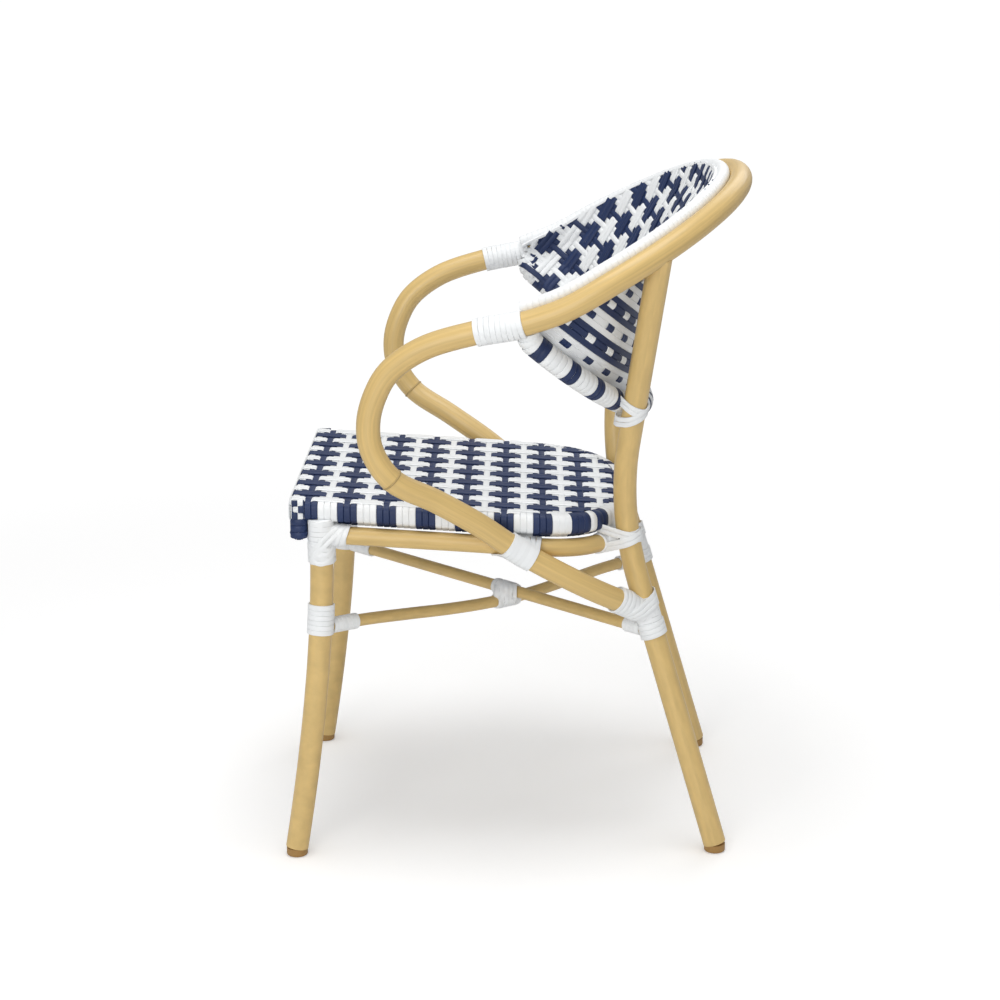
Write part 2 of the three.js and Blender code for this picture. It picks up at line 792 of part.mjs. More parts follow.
// Woven pieces
function makeBack() {
  place('back_edge_binding', edgeBinding.geometry(), whiteStrip());
  const legRoom = [rearLegs[1].clearance(), rearLegs[-1].clearance()];
  place('back_roll', toGeometry(cutBy(backRoll.solid(), legRoom)), wovenWhite());
  const room = [edgeBinding.clearance(), backRoll.clearance(), hoop.clearance(), ...legRoom];
  place('back_weave', toGeometry(cutBy(toSolid(backShell()), room)), wovenNavy());
}

function makeSeat() {
  const slab = toSolid(seatSlab(0, 0, -seatEdgeThickness, seatEdgeRounding));
  const hollow = toSolid(seatSlab(seatRimWidth, -seatWebThickness, -seatEdgeThickness - cutOverrun, 0));
  place('seat_weave', toGeometry(cutBy(slab, [hollow, frontRollRoom()])), wovenWhite());
  place('seat_front_roll', toGeometry(toSolid(frontRollGeometry())), wovenNavy());
}

// Lashings
const lashingRoom = () => [hoop, seatRing, frontRailPipe, stretcherLow, stretcherHigh, backRoll, edgeBinding,
  ...Object.values(frontLegs), ...Object.values(rearLegs)].map((pipe) => pipe.clearance());

function makeLashing(name, sleeves, extraRoom = []) {
  const body = cutBy(joined(sleeves), [...lashingRoom(), ...extraRoom]);
  place(name, toGeometry(body), whiteStrip());
}

function makeLashings(side) {
  const name = sideName(side);
  const end = (share) => (side > 0 ? share : 1 - share);
  const frontLeg = frontLegs[side];
  const rearLeg = rearLegs[side];

  makeLashing(`front_corner_wrap_${name}`, [
    frontLeg.sleeve(1, cornerWrapDrop, lashingThickness),
    seatRing.sleeve(end(0), cornerWrapRun, lashingThickness),
    frontRailPipe.sleeve(end(0), cornerWrapRun, lashingThickness),
  ], seatRoom());

  const seatTouch = shareNearestLeg(seatRing);
  makeLashing(`seat_rear_wrap_${name}`, [wasm.Manifold.hull([
    seatRing.sleeve(end(seatTouch), seatRearWrapRun, lashingThickness),
    rearLeg.sleeve(rearLeg.shareAt('z', seatRing.curve.getPointAt(seatTouch).z), seatRearWrapRun, lashingThickness),
  ])], seatRoom());

  makeLashing(`rear_joint_wrap_${name}`, [
    hoop.sleeve(end(0), rearJointWrapRun + mainRadius, lashingThickness),
    rearLeg.sleeve(rearLeg.shareAt('z', (lowerJointZ + stretcherRearZ) / 2), rearJointWrapRun, lashingThickness),
  ]);

  const rollTouch = shareNearestLeg(backRoll);
  makeLashing(`back_lashing_${name}`, [
    backRoll.sleeve(end(rollTouch), backLashingRun, lashingThickness),
    rearLeg.sleeve(rearLeg.shareAt('z', backRoll.curve.getPointAt(rollTouch).z), backLashingRun, lashingThickness),
  ], [toSolid(backShell(fitGap))]);
}

function makeSleeves() {
  const ends = [
    ['front_stretcher_sleeve_left', stretcherLow, 0, frontSleeveRun, frontLegs[1]],
    ['front_stretcher_sleeve_right', stretcherHigh, 0, frontSleeveRun, frontLegs[-1]],
    ['rear_stretcher_sleeve_left', stretcherHigh, 1, rearSleeveRun, rearLegs[1]],
    ['rear_stretcher_sleeve_right', stretcherLow, 1, rearSleeveRun, rearLegs[-1]],
  ];
  for (const [name, pipe, end, run, leg] of ends) {
    makeLashing(name, [pipe.sleeve(end, run, stripThickness)], [bandRoom(leg)]);
  }
  makeLashing('crossing_wrap', [
    stretcherLow.sleeve(stretcherLow.shareAt('x', 0), crossingWrapRun, lashingThickness),
    stretcherHigh.sleeve(stretcherHigh.shareAt('x', 0), crossingWrapRun, lashingThickness),
  ]);
}

function makeWindings(side) {
  const name = sideName(side);
  const armFrom = side > 0 ? armWrapFromShare : 1 - armWrapToShare;
  const arm = windingGeometry(armWrapLoops, frameAlong(hoop, armFrom), roundOutline(mainRadius + roundSlack));
  place(`arm_wrap_${name}`, arm.geometry, whiteStrip());

  const wrapShare = (railWrapLoops * pitchOfWinding) / hoop.length;
  const crossing = side > 0 ? crossingShare : 1 - crossingShare;
  const atCrossing = frameAlong(hoop, crossing - wrapShare / 2);
  const railShare = seatRing.shareAt('y', railCrossingY, 0, 0.5);
  const railEnd = side > 0 ? railShare : 1 - railShare;
  const rail = windingGeometry(railWrapLoops, atCrossing, pairOutline(atCrossing, seatRing, railEnd));
  place(`rail_wrap_${name}`, rail.geometry, whiteStrip());

  const leg = frontLegs[side];
  const bandShare = (legBandLoops * pitchOfWinding) / leg.length;
  const bandFrom = leg.shareAt('z', stretcherFrontZ) - bandShare / 2;
  const band = windingGeometry(legBandLoops, frameAlong(leg, bandFrom), roundOutline(mainRadius + roundSlack));
  place(`front_leg_band_${name}`, band.geometry, whiteStrip());
  console.log(`${name} windings, least gap to itself:`, [arm, rail, band].map((wound) => wound.gap.toFixed(2)).join(', '));
}

makeHoop();
makeRails();
makeStretcher('stretcher_low', stretcherLow);
makeStretcher('stretcher_high', stretcherHigh);
makeBack();
makeSeat();
makeSleeves();
for (const side of [1, -1]) {
  makeRearLeg(side);
  makeFrontLeg(side);
  makeLashings(side);
  makeWindings(side);
}

const chair = new THREE.Group();
chair.add(...meshes);
const bounds = new THREE.Box3().setFromObject(chair);
const middle = bounds.getCenter(new THREE.Vector3());
chair.position.set(-middle.x, -middle.y, -bounds.min.z);

export default chair;
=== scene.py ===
"""A bistro armchair: bent tube frame, white lashings, woven seat and back.

Metres, +Z up. The sitter faces -Y and the sitter's left is +X.
"""

import math

import bmesh
import bpy
import numpy as np
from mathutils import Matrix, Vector


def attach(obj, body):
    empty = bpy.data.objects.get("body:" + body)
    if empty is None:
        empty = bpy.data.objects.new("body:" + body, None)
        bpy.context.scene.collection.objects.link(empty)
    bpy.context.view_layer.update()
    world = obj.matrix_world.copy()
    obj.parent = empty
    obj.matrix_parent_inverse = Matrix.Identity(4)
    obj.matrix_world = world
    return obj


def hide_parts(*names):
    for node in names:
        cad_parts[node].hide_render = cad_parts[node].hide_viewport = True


bl_info = {
    "name": "Woven Bistro Armchair",
    "version": (1, 0, 0),
    "blender": (4, 5, 0),
    "location": "3D View > Sidebar > Bistro Chair",
    "description": "Builds the tubes, lashings and woven shells of a bistro armchair",
    "category": "Add Mesh",
}

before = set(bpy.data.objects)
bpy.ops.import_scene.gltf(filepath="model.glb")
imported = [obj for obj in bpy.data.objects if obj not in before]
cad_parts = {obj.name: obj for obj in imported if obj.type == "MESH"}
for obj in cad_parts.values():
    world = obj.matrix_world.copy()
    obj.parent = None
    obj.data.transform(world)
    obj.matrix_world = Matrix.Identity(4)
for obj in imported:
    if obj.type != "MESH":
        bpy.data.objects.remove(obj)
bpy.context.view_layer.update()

MM = 0.001
# Places of the two strand finishes in a woven piece
NAVY, WHITE = 0, 1

# The routes below have their own origin; finished pieces move by this much into the frame
MIDDLE_Y = -10.012 * MM

# Tube and strip stock
MAIN_RADIUS = 14 * MM
RAIL_RADIUS = 11 * MM
STRETCHER_RADIUS = 7.5 * MM
BINDING_RADIUS = 8 * MM
ROLL_RADIUS = 11.5 * MM
STRIP_WIDTH = 5.1 * MM
STRIP_PITCH = 6.2 * MM
LASHING = 2.6 * MM
FIT_GAP = 0.3 * MM

# Back hoop, an oval in a plane that rises to the rear
HOOP_HALF_WIDTH = 286 * MM
HOOP_SHOULDER_Y = 66 * MM
HOOP_REAR_Y = 281 * MM
HOOP_TOP_Z = 814 * MM
HOOP_RAKE = math.radians(29)
HOOP_POWER = 2.15

# Arm loop and the hoop's lower run to the rear leg
ARM_REACH_Y = -161 * MM
RAIL_CROSSING_Y = 13.5 * MM
LOWER_JOINT_Z = 300 * MM
LOWER_RUN_BULGE = 14 * MM
# Shares of the run forward, of the height above the crossing and of the extra half width
ARM_LOOP = (
    (0.225, 0.939, 0.93),
    (0.458, 0.904, 0.87),
    (0.722, 0.839, 0.77),
    (0.89, 0.748, 0.69),
    (0.962, 0.658, 0.66),
    (1.0, 0.551, 0.65),
    (0.985, 0.442, 0.65),
    (0.885, 0.325, 0.62),
    (0.66, 0.224, 0.36),
    (0.44, 0.118, 0.17),
)
# Shares of the hoop that searches start from, and one that keeps them off the loop's front
LOWER_RUN_SHARE = 0.05
ARM_TOP_SHARE = 0.2
HOOP_MIDDLE_SHARE = 0.5
TURN_BACK_SHARE = 0.03

# Seat and the ring under it
SEAT_FRONT_Z = 450 * MM
SEAT_RAKE = math.radians(3.5)
SEAT_FRONT_Y = -262 * MM
SEAT_REAR_Y = 150 * MM
SEAT_HALF_WIDTH = 196 * MM
SEAT_STRAIGHT_Y = 16 * MM
SEAT_POWER = 2.6
SEAT_THICK = 25 * MM
SEAT_RAIL_GAP = 6.2 * MM
RAIL_SIDE_INSET = 8 * MM
RAIL_REAR_INSET = 12 * MM
RAIL_POWER = 2.8

# Legs and stretchers
LEG_TOP_Y = -225 * MM
KNEE_Y = -231 * MM
KNEE_Z = 236 * MM
FRONT_FOOT = (203 * MM, -262 * MM, 0)
REAR_FOOT = (186 * MM, 258 * MM, 0)
REAR_BEND = (150 * MM, 131 * MM, 428 * MM)
REAR_BEND_RUN = 95 * MM
REAR_TOP_Y = 172 * MM
COPE_BACK = 0.35
STRETCHER_FRONT_Z = 290 * MM
STRETCHER_REAR_Z = 277 * MM

# Back roll and edge binding
ROLL_SIDE_INSET = 22 * MM
ROLL_FRONT_Y = 30 * MM
ROLL_DROP = 46 * MM
ROLL_LEG_GAP = 0.5 * MM
ROLL_FALL = math.radians(40)
ROLL_POWER = 1.9
BINDING_LIFT = math.radians(45)

# Counted windings
ARM_WRAP_LOOPS = 9
ARM_WRAP_FRONT_Y = -37 * MM
RAIL_WRAP_LOOPS = 6
LEG_BAND_LOOPS = 6


def unit(v):
    v = np.asarray(v, float)
    return v / np.linalg.norm(v, axis=-1, keepdims=True)


def flipped(points):
    """The same points on the other side of the chair."""
    return np.asarray(points) * (-1, 1, 1)


class Route:
    """A middle line as evenly read points."""

    def __init__(self, points):
        self.points = np.asarray(points, float)
        steps = np.linalg.norm(np.diff(self.points, axis=0), axis=1)
        self.run = np.concatenate(([0.0], np.cumsum(steps)))
        self.length = self.run[-1]

    def at(self, share):
        where = np.clip(np.asarray(share, float), 0, 1) * self.length
        return np.stack([np.interp(where, self.run, self.points[:, k]) for k in range(3)], axis=-1)

    def way(self, share):
        near = 0.002 / self.length
        share = np.asarray(share, float)
        return unit(self.at(np.minimum(share + near, 1)) - self.at(np.maximum(share - near, 0)))

    def share_at(self, axis, value, start=0.0, end=1.0):
        """Share between start and end at which a coordinate has a value."""
        rising = self.at(end)[axis] > self.at(start)[axis]
        for _ in range(40):
            middle = (start + end) / 2
            if (self.at(middle)[axis] < value) == rising:
                start = middle
            else:
                end = middle
        return (start + end) / 2


def smooth(points, per_span=24):
    """A centripetal curve through the points."""
    points = np.asarray(points, float)
    spread = np.vstack([2 * points[0] - points[1], points, 2 * points[-1] - points[-2]])
    out = []
    t = np.linspace(0, 1, per_span, endpoint=False)[:, None]
    for i in range(len(points) - 1):
        a, b, c, d = spread[i:i + 4]
        ab, bc, cd = (math.sqrt(np.linalg.norm(q - p)) for p, q in ((a, b), (b, c), (c, d)))
        first = ((b - a) / ab - (c - a) / (ab + bc) + (c - b) / bc) * bc
        last = ((c - b) / bc - (d - b) / (bc + cd) + (d - c) / cd) * bc
        c2 = -3 * b + 3 * c - 2 * first - last
        c3 = 2 * b - 2 * c + first + last
        out.append(b + first * t + c2 * t ** 2 + c3 * t ** 3)
    out.append(points[-1:])
    return Route(np.vstack(out))


def oval(half, front, rear, power, turn):
    """Point of half an oval with full corners, from its +X end over the rear."""
    across = np.cos(turn)
    x = half * np.sign(across) * np.abs(across) ** (2 / power)
    y = front + (rear - front) * np.abs(np.sin(turn)) ** (2 / power)
    return x, y


def seat_top(y):
    return SEAT_FRONT_Z - (y - SEAT_FRONT_Y) * math.tan(SEAT_RAKE)


def rail_height(y):
    return seat_top(y) - SEAT_THICK - SEAT_RAIL_GAP - RAIL_RADIUS


RAIL_HALF_WIDTH = SEAT_HALF_WIDTH - RAIL_SIDE_INSET


def hoop_height(y):
    return HOOP_TOP_Z - (HOOP_REAR_Y - y) * math.tan(HOOP_RAKE)


def hoop_back(turn):
    x, y = oval(HOOP_HALF_WIDTH, HOOP_SHOULDER_Y, HOOP_REAR_Y, HOOP_POWER, turn)
    return np.array([x, y, hoop_height(y)])


def quad(a, b, c, t):
    """Quadratic curve from a to c with its corner at b."""
    t = np.asarray(t)[:, None]
    return (1 - t) ** 2 * a + 2 * t * (1 - t) * b + t ** 2 * c


def rear_leg_points():
    foot = np.array(REAR_FOOT)
    bend = np.array(REAR_BEND)
    across = ((REAR_TOP_Y - HOOP_SHOULDER_Y) / (HOOP_REAR_Y - HOOP_SHOULDER_Y)) ** HOOP_POWER
    top_x = HOOP_HALF_WIDTH * (1 - across) ** (1 / HOOP_POWER)
    top = np.array([top_x, REAR_TOP_Y, hoop_height(REAR_TOP_Y)])
    top = top + unit(bend - top) * MAIN_RADIUS * COPE_BACK
    below = bend + unit(foot - bend) * REAR_BEND_RUN
    above = bend + unit(top - bend) * REAR_BEND_RUN
    curve = quad(below, bend, above, np.linspace(0, 1, 40))
    return np.vstack([foot[None], curve, top[None]])


def front_leg_points():
    top_z = rail_height(LEG_TOP_Y) + RAIL_RADIUS + SEAT_RAIL_GAP + LASHING
    top = np.array([RAIL_HALF_WIDTH, LEG_TOP_Y, top_z])
    foot = np.array(FRONT_FOOT)
    knee_x = foot[0] + (top[0] - foot[0]) * KNEE_Z / top[2]
    knee = np.array([knee_x, KNEE_Y, KNEE_Z])
    return quad(foot, 2 * knee - (foot + top) / 2, top, np.linspace(0, 1, 80))


REAR_LEGS = {1: Route(rear_leg_points()), -1: Route(flipped(rear_leg_points()))}
FRONT_LEGS = {1: Route(front_leg_points()), -1: Route(flipped(front_leg_points()))}


def at_height(route, z):
    return route.at(route.share_at(2, z))


def hoop_route():
    """Both lower runs, arm loops and the oval back as one tube."""
    crossing_x = RAIL_HALF_WIDTH + RAIL_RADIUS + MAIN_RADIUS + FIT_GAP
    crossing = np.array([crossing_x, RAIL_CROSSING_Y, rail_height(RAIL_CROSSING_Y)])
    shoulder = hoop_back(0)
    loop = [(crossing[0] + (shoulder[0] - crossing[0]) * out,
             shoulder[1] + (ARM_REACH_Y - shoulder[1]) * forward,
             crossing[2] + (shoulder[2] - crossing[2]) * up) for forward, up, out in ARM_LOOP]
    joint = at_height(REAR_LEGS[1], LOWER_JOINT_Z)
    joint = joint + unit(crossing - joint) * MAIN_RADIUS * COPE_BACK
    lower = (joint + crossing) / 2 + (LOWER_RUN_BULGE, 0, 0)
    side = np.array([joint, lower, crossing, *loop[::-1]])
    back = [hoop_back(math.pi * k / 14) for k in range(15)]
    return smooth([*side, *back, *flipped(side)[::-1]])


HOOP = hoop_route()
LOOP_FRONT = HOOP.share_at(1, ARM_REACH_Y + FIT_GAP, LOWER_RUN_SHARE, ARM_TOP_SHARE)
CROSSING = HOOP.share_at(1, RAIL_CROSSING_Y, 0, LOOP_FRONT - TURN_BACK_SHARE)


def seat_ring_route():
    straight = [LEG_TOP_Y + (SEAT_STRAIGHT_Y - LEG_TOP_Y) * k / 3 for k in range(3)]
    rear_y = SEAT_REAR_Y - RAIL_REAR_INSET
    turns = [math.pi * k / 12 for k in range(13)]
    spots = [(RAIL_HALF_WIDTH, y) for y in straight]
    spots += [oval(RAIL_HALF_WIDTH, SEAT_STRAIGHT_Y, rear_y, RAIL_POWER, turn) for turn in turns]
    spots += [(-RAIL_HALF_WIDTH, y) for y in straight[::-1]]
    return smooth([(x, y, rail_height(y)) for x, y in spots])


SEAT_RING = seat_ring_route()
RAIL_END = (RAIL_HALF_WIDTH, LEG_TOP_Y, rail_height(LEG_TOP_Y))
CROSS_RAIL = Route([RAIL_END, flipped(RAIL_END)])


def stretcher_route(front_side, drop):
    """From a front leg to the rear leg of the other side, lower by the drop where the two cross."""
    front = at_height(FRONT_LEGS[front_side], STRETCHER_FRONT_Z)
    rear = at_height(REAR_LEGS[-front_side], STRETCHER_REAR_Z)
    crossing = front[0] / (front[0] - rear[0])
    points = []
    for k in range(9):
        share = k / 8
        way_in = share / crossing if share < crossing else (1 - share) / (1 - crossing)
        point = front + (rear - front) * share
        point[2] -= drop * math.sin(math.pi / 2 * way_in) ** 2
        points.append(point)
    return smooth(points)


STRETCHER_LOW = stretcher_route(1, 2 * STRETCHER_RADIUS + 4 * FIT_GAP)
STRETCHER_HIGH = stretcher_route(-1, 0)


def roll_points(rear_y, turns):
    x, y = oval(HOOP_HALF_WIDTH - ROLL_SIDE_INSET, ROLL_FRONT_Y, rear_y, ROLL_POWER, turns)
    z = hoop_height(HOOP_SHOULDER_Y) - ROLL_DROP - (y - ROLL_FRONT_Y) * math.tan(ROLL_FALL)
    return np.stack([x, y, z], axis=-1)


def roll_route():
    """The lower roll, as deep as the rear legs let it be."""
    leg = REAR_LEGS[1].at(np.linspace(0, 1, 201))
    turns = np.linspace(0, math.pi / 2, 91)
    near, far = ROLL_FRONT_Y, HOOP_REAR_Y
    for _ in range(30):
        middle = (near + far) / 2
        points = roll_points(middle, turns)
        least = np.linalg.norm(points[:, None] - leg[None], axis=2).min()
        if least > MAIN_RADIUS + ROLL_RADIUS + ROLL_LEG_GAP:
            near = middle
        else:
            far = middle
    return smooth(roll_points(near, np.pi * np.arange(17) / 16))


BACK_ROLL = roll_route()
ARM_WRAP_FROM = HOOP.share_at(1, ARM_WRAP_FRONT_Y, LOOP_FRONT + TURN_BACK_SHARE, HOOP_MIDDLE_SHARE)
ARM_WRAP_TO = ARM_WRAP_FROM + ARM_WRAP_LOOPS * STRIP_PITCH / HOOP.length


def binding_route():
    """The edge binding, up and in from the hoop, from one arm wrap to the other."""
    plane_up = np.array([0, -math.sin(HOOP_RAKE), math.cos(HOOP_RAKE)])
    offset = MAIN_RADIUS + BINDING_RADIUS + FIT_GAP
    start = ARM_WRAP_TO + 2 * STRIP_WIDTH / HOOP.length
    points = []
    for k in range(31):
        share = start + (1 - 2 * start) * k / 30
        inward = unit(np.cross(plane_up, HOOP.way(share))) * offset * math.cos(BINDING_LIFT)
        points.append(HOOP.at(share) + inward + plane_up * offset * math.sin(BINDING_LIFT))
    return smooth(points)


BINDING = binding_route()


# Shader maths
class Wire:
    """A shader value that can be reckoned with like a number."""

    def __init__(self, finish, socket):
        self.finish = finish
        self.socket = socket

    def _math(self, operation, *values):
        return self.finish.node("ShaderNodeMath", {"operation": operation}, values)

    def __add__(self, other):
        return self._math("ADD", self, other)

    def __radd__(self, other):
        return self._math("ADD", other, self)

    def __sub__(self, other):
        return self._math("SUBTRACT", self, other)

    def __rsub__(self, other):
        return self._math("SUBTRACT", other, self)

    def __mul__(self, other):
        return self._math("MULTIPLY", self, other)

    def __rmul__(self, other):
        return self._math("MULTIPLY", other, self)

    def sine(self):
        return self._math("SINE", self)

    def held(self):
        """Held between 0 and 1."""
        return self.finish.node("ShaderNodeClamp", {}, (self,))


class Finish:
    """A surface finish made of shader nodes; the finishes' numbers are shares and counts to the metre."""

    def __init__(self, name):
        self.material = bpy.data.materials.new(name)
        self.material.use_nodes = True
        self.tree = self.material.node_tree
        self.surface = self.tree.nodes["Principled BSDF"]

    def node(self, kind, settings, inputs, output=0):
        """Adds a node; settings are set first, then inputs given by place or by name."""
        made = self.tree.nodes.new(kind)
        for key, value in settings.items():
            setattr(made, key, value)
        pairs = inputs.items() if isinstance(inputs, dict) else enumerate(inputs)
        for key, value in pairs:
            self.join(made.inputs[key], value)
        return Wire(self, made.outputs[output])

    def join(self, socket, value):
        if isinstance(value, Wire):
            self.tree.links.new(value.socket, socket)
        else:
            socket.default_value = value

    def blend(self, mask, first, second):
        """A colour between two others."""
        inputs = {0: mask, 6: first, 7: second}
        return self.node("ShaderNodeMix", {"data_type": "RGBA"}, inputs, 2)

    def set(self, **values):
        for key, value in values.items():
            self.join(self.surface.inputs[key.replace("_", " ")], value)

    def across_and_along(self):
        """The piece's own map: across or round the strand, then metres along it."""
        place = self.node("ShaderNodeTexCoord", {}, (), "UV")
        parts = self.tree.nodes.new("ShaderNodeSeparateXYZ")
        self.tree.links.new(place.socket, parts.inputs[0])
        return Wire(self, parts.outputs[0]), Wire(self, parts.outputs[1])

    def streaks(self, across, along, fineness, detail=3.0):
        """Noise drawn out along the strand or the tube."""
        place = self.node("ShaderNodeCombineXYZ", {}, (across, along, 0.0))
        return self.noise(place, fineness, detail)

    def noise(self, place, fineness, detail):
        return self.node("ShaderNodeTexNoise", {}, {"Vector": place, "Scale": fineness, "Detail": detail})

    def grit(self, fineness, detail):
        """Even noise over the whole piece."""
        place = self.node("ShaderNodeTexCoord", {}, (), "Object")
        return self.noise(place, fineness, detail)

    def ramp(self, value, low, high):
        """0 below the low value, 1 above the high one."""
        return self.node("ShaderNodeMapRange", {}, (value, low, high, 0.0, 1.0))

    def bump(self, height, strength, distance):
        return self.node("ShaderNodeBump", {}, {"Height": height, "Strength": strength, "Distance": distance})


def linear(colour):
    """A colour as it is seen, from 0 to 1, as the shader wants it."""
    return tuple(c / 12.92 if c <= 0.04045 else ((c + 0.055) / 1.055) ** 2.4 for c in colour)


def shaded(colour, share):
    return (*(min(1.0, c * share) for c in colour), 1.0)


def tube_paint(name, settings):
    """Satin tan paint with a faint lengthwise grain."""
    finish = Finish(name)
    base = linear(settings.paint_colour)
    across, along = finish.across_and_along()
    fine = finish.streaks(across * 9.0, along * 4.0, 3.0)
    broad = finish.streaks(across * 2.0, along * 7.0, 1.6, 1.0)
    grain = finish.ramp(fine * 0.55 + broad * 0.45, 0.36, 0.64)
    colour = finish.blend(grain, shaded(base, 0.9), shaded(base, 1.07))
    finish.set(
        Base_Color=colour,
        Roughness=0.34 + fine * 0.12,
        Coat_Weight=0.12,
        Normal=finish.bump(fine, settings.grain_strength, 0.0004),
    )
    return finish.material


def strand_finish(name, colour, roughness, ribs, tone_spread, rib_depth):
    """Flat plastic strand with fine ribs and a slightly different tone from strand to strand."""
    finish = Finish(name)
    base = linear(colour)
    across, along = finish.across_and_along()
    tone = finish.node("ShaderNodeAttribute", {"attribute_name": "strand_tone"}, (), "Fac")
    wear = finish.streaks(across * 3.0 + tone * 11.0, along * 30.0, 2.0)
    rib = (across * (2 * math.pi * ribs)).sine() * 0.5 + 0.5
    mask = (tone * 0.65 + wear * 0.35).held()
    finish.set(
        Base_Color=finish.blend(mask, shaded(base, 1 - tone_spread), shaded(base, 1 + tone_spread)),
        Roughness=roughness + wear * 0.14,
        Normal=finish.bump(rib * 0.6 + wear * 0.4, rib_depth, 0.0003),
    )
    return finish.material


def wrapping_finish(name, colour, pitch):
    """Tight strip round a joint: fine joins darkened with painted shade that fades in and out between smooth
    turns.
    """
    finish = Finish(name)
    base = linear(colour)
    _, along = finish.across_and_along()
    patch = finish.grit(90.0, 2.0)
    wave = (along * (2 * math.pi / pitch)).sine() * 0.5 + 0.5
    join = finish.ramp(wave, 0.9, 1.0)
    some = finish.ramp(patch, 0.42, 0.6)
    finish.set(
        # Painted shade: the joins between turns darken to 0.45 of the white where the patches let them show
        Base_Color=finish.blend((join * some * 0.5).held(), shaded(base, 1.0), shaded(base, 0.45)),
        Roughness=0.44 + patch * 0.14,
        Normal=finish.bump(1 - join * 0.8 + patch * 0.2, 0.5, 0.0004),
    )
    return finish.material


def ring_finish(name, colour):
    """Darker colour in the line of the low ring, streaked along the tube."""
    finish = Finish(name)
    base = linear(colour)
    across, along = finish.across_and_along()
    ring_streak = finish.streaks(across * 20.0, along * 3.0, 2.0)
    finish.set(
        # The low ring is coloured 0.55 to 0.75 of the tube paint, with streaks along the tube
        Base_Color=finish.blend(ring_streak, shaded(base, 0.55), shaded(base, 0.75)),
        Roughness=0.4 + ring_streak * 0.15,
    )
    return finish.material


def glide_finish(name, settings):
    """Moulded tan plastic, a little scuffed all over."""
    finish = Finish(name)
    base = linear(settings.glide_colour)
    grit = finish.grit(420.0, 3.0)
    finish.set(
        Base_Color=finish.blend(grit, shaded(base, 0.9), shaded(base, 1.08)),
        Roughness=0.42 + grit * 0.16,
        Normal=finish.bump(grit, 0.25, 0.0002),
    )
    return finish.material


def tack_finish(name):
    """Dulled steel of the small tacks that hold the strip ends."""
    finish = Finish(name)
    grit = finish.grit(900.0, 2.0)
    finish.set(
        Base_Color=finish.blend(grit, (0.08, 0.07, 0.06, 1), (0.19, 0.17, 0.14, 1)),
        Metallic=0.7,
        Roughness=0.4 + grit * 0.2,
    )
    return finish.material


# Modelling helpers
def deselect():
    if bpy.context.object and bpy.context.object.mode != "OBJECT":
        bpy.ops.object.mode_set(mode="OBJECT")
    bpy.ops.object.select_all(action="DESELECT")


def take(piece):
    """Makes one object the selected and active one."""
    deselect()
    piece.select_set(True)
    bpy.context.view_layer.objects.active = piece


def read(items, key, width=1, kind=float):
    """One property of all items as an array."""
    values = np.empty(len(items) * width, dtype=kind)
    items.foreach_get(key, values)
    return values


def painted(piece, finishes, place=None):
    """Gives a piece its finishes and, where a place is given, all its faces the finish there."""
    for finish in finishes:
        piece.data.materials.append(bpy.data.materials[finish])
    if place is not None:
        piece.data.polygons.foreach_set("material_index", [place] * len(piece.data.polygons))
    return piece


def finished(piece, name, finishes):
    """Moves a finished piece into the frame, names it, paints it and puts it in its node's place."""
    take(piece)
    bpy.ops.transform.translate(value=(0, MIDDLE_Y, 0))
    bpy.ops.object.transform_apply(location=True, rotation=True, scale=True)
    piece.name = name
    piece.data.name = name
    kept = read(piece.data.polygons, "material_index", kind=np.int32)
    piece.data.materials.clear()
    painted(piece, finishes)
    piece.data.polygons.foreach_set("material_index", kept)
    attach(piece, "root")
    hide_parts(name)


def bent_tube(route, radius, start=0.0, end=1.0, step=0.008, round_steps=8):
    """A round tube bent along a route: a path with a bevel, made a mesh."""
    deselect()
    bpy.ops.curve.primitive_nurbs_path_add(location=(0, 0, 0))
    piece = bpy.context.object
    path = piece.data
    path.splines.clear()
    line = path.splines.new("POLY")
    length = route.length * (end - start)
    count = max(2, int(length / step) + 1)
    points = route.at(np.linspace(start, end, count))
    line.points.add(count - 1)
    line.points.foreach_set("co", np.hstack([points, np.ones((count, 1))]).ravel())
    path.dimensions = "3D"
    path.bevel_depth = radius
    path.bevel_resolution = round_steps
    path.use_fill_caps = True
    bpy.ops.object.convert(target="MESH")
    piece = bpy.context.object
    take(piece)
    bpy.ops.object.mode_set(mode="EDIT")
    bpy.ops.mesh.select_all(action="SELECT")
    bpy.ops.mesh.remove_doubles(threshold=0.00001)
    bpy.ops.mesh.normals_make_consistent(inside=False)
    bpy.ops.object.mode_set(mode="OBJECT")
    chart = piece.data.uv_layers[0]
    marks = read(chart.data, "uv", 2).reshape(-1, 2) * (1.0, length)
    chart.data.foreach_set("uv", marks.ravel())
    bpy.ops.object.shade_smooth_by_angle(angle=math.radians(40))
    return piece


def ring_on(route, share, radius, thickness):
    """A low ring round a tube."""
    deselect()
    bpy.ops.mesh.primitive_torus_add(
        location=route.at(share),
        rotation=Vector(route.way(share)).to_track_quat("Z", "Y").to_euler(),
        major_radius=radius,
        minor_radius=thickness,
        major_segments=32,
        minor_segments=8,
        generate_uvs=True,
    )
    ring = bpy.context.object
    bpy.ops.object.transform_apply(location=True, rotation=True, scale=True)
    bpy.ops.object.shade_smooth()
    return ring


def joined(main, *others):
    """Joins other objects, if there are any, into the main one."""
    if not others:
        return main
    deselect()
    for other in others:
        other.data.uv_layers[0].name = main.data.uv_layers[0].name
        other.select_set(True)
    main.select_set(True)
    bpy.context.view_layer.objects.active = main
    bpy.ops.object.join()
    return main


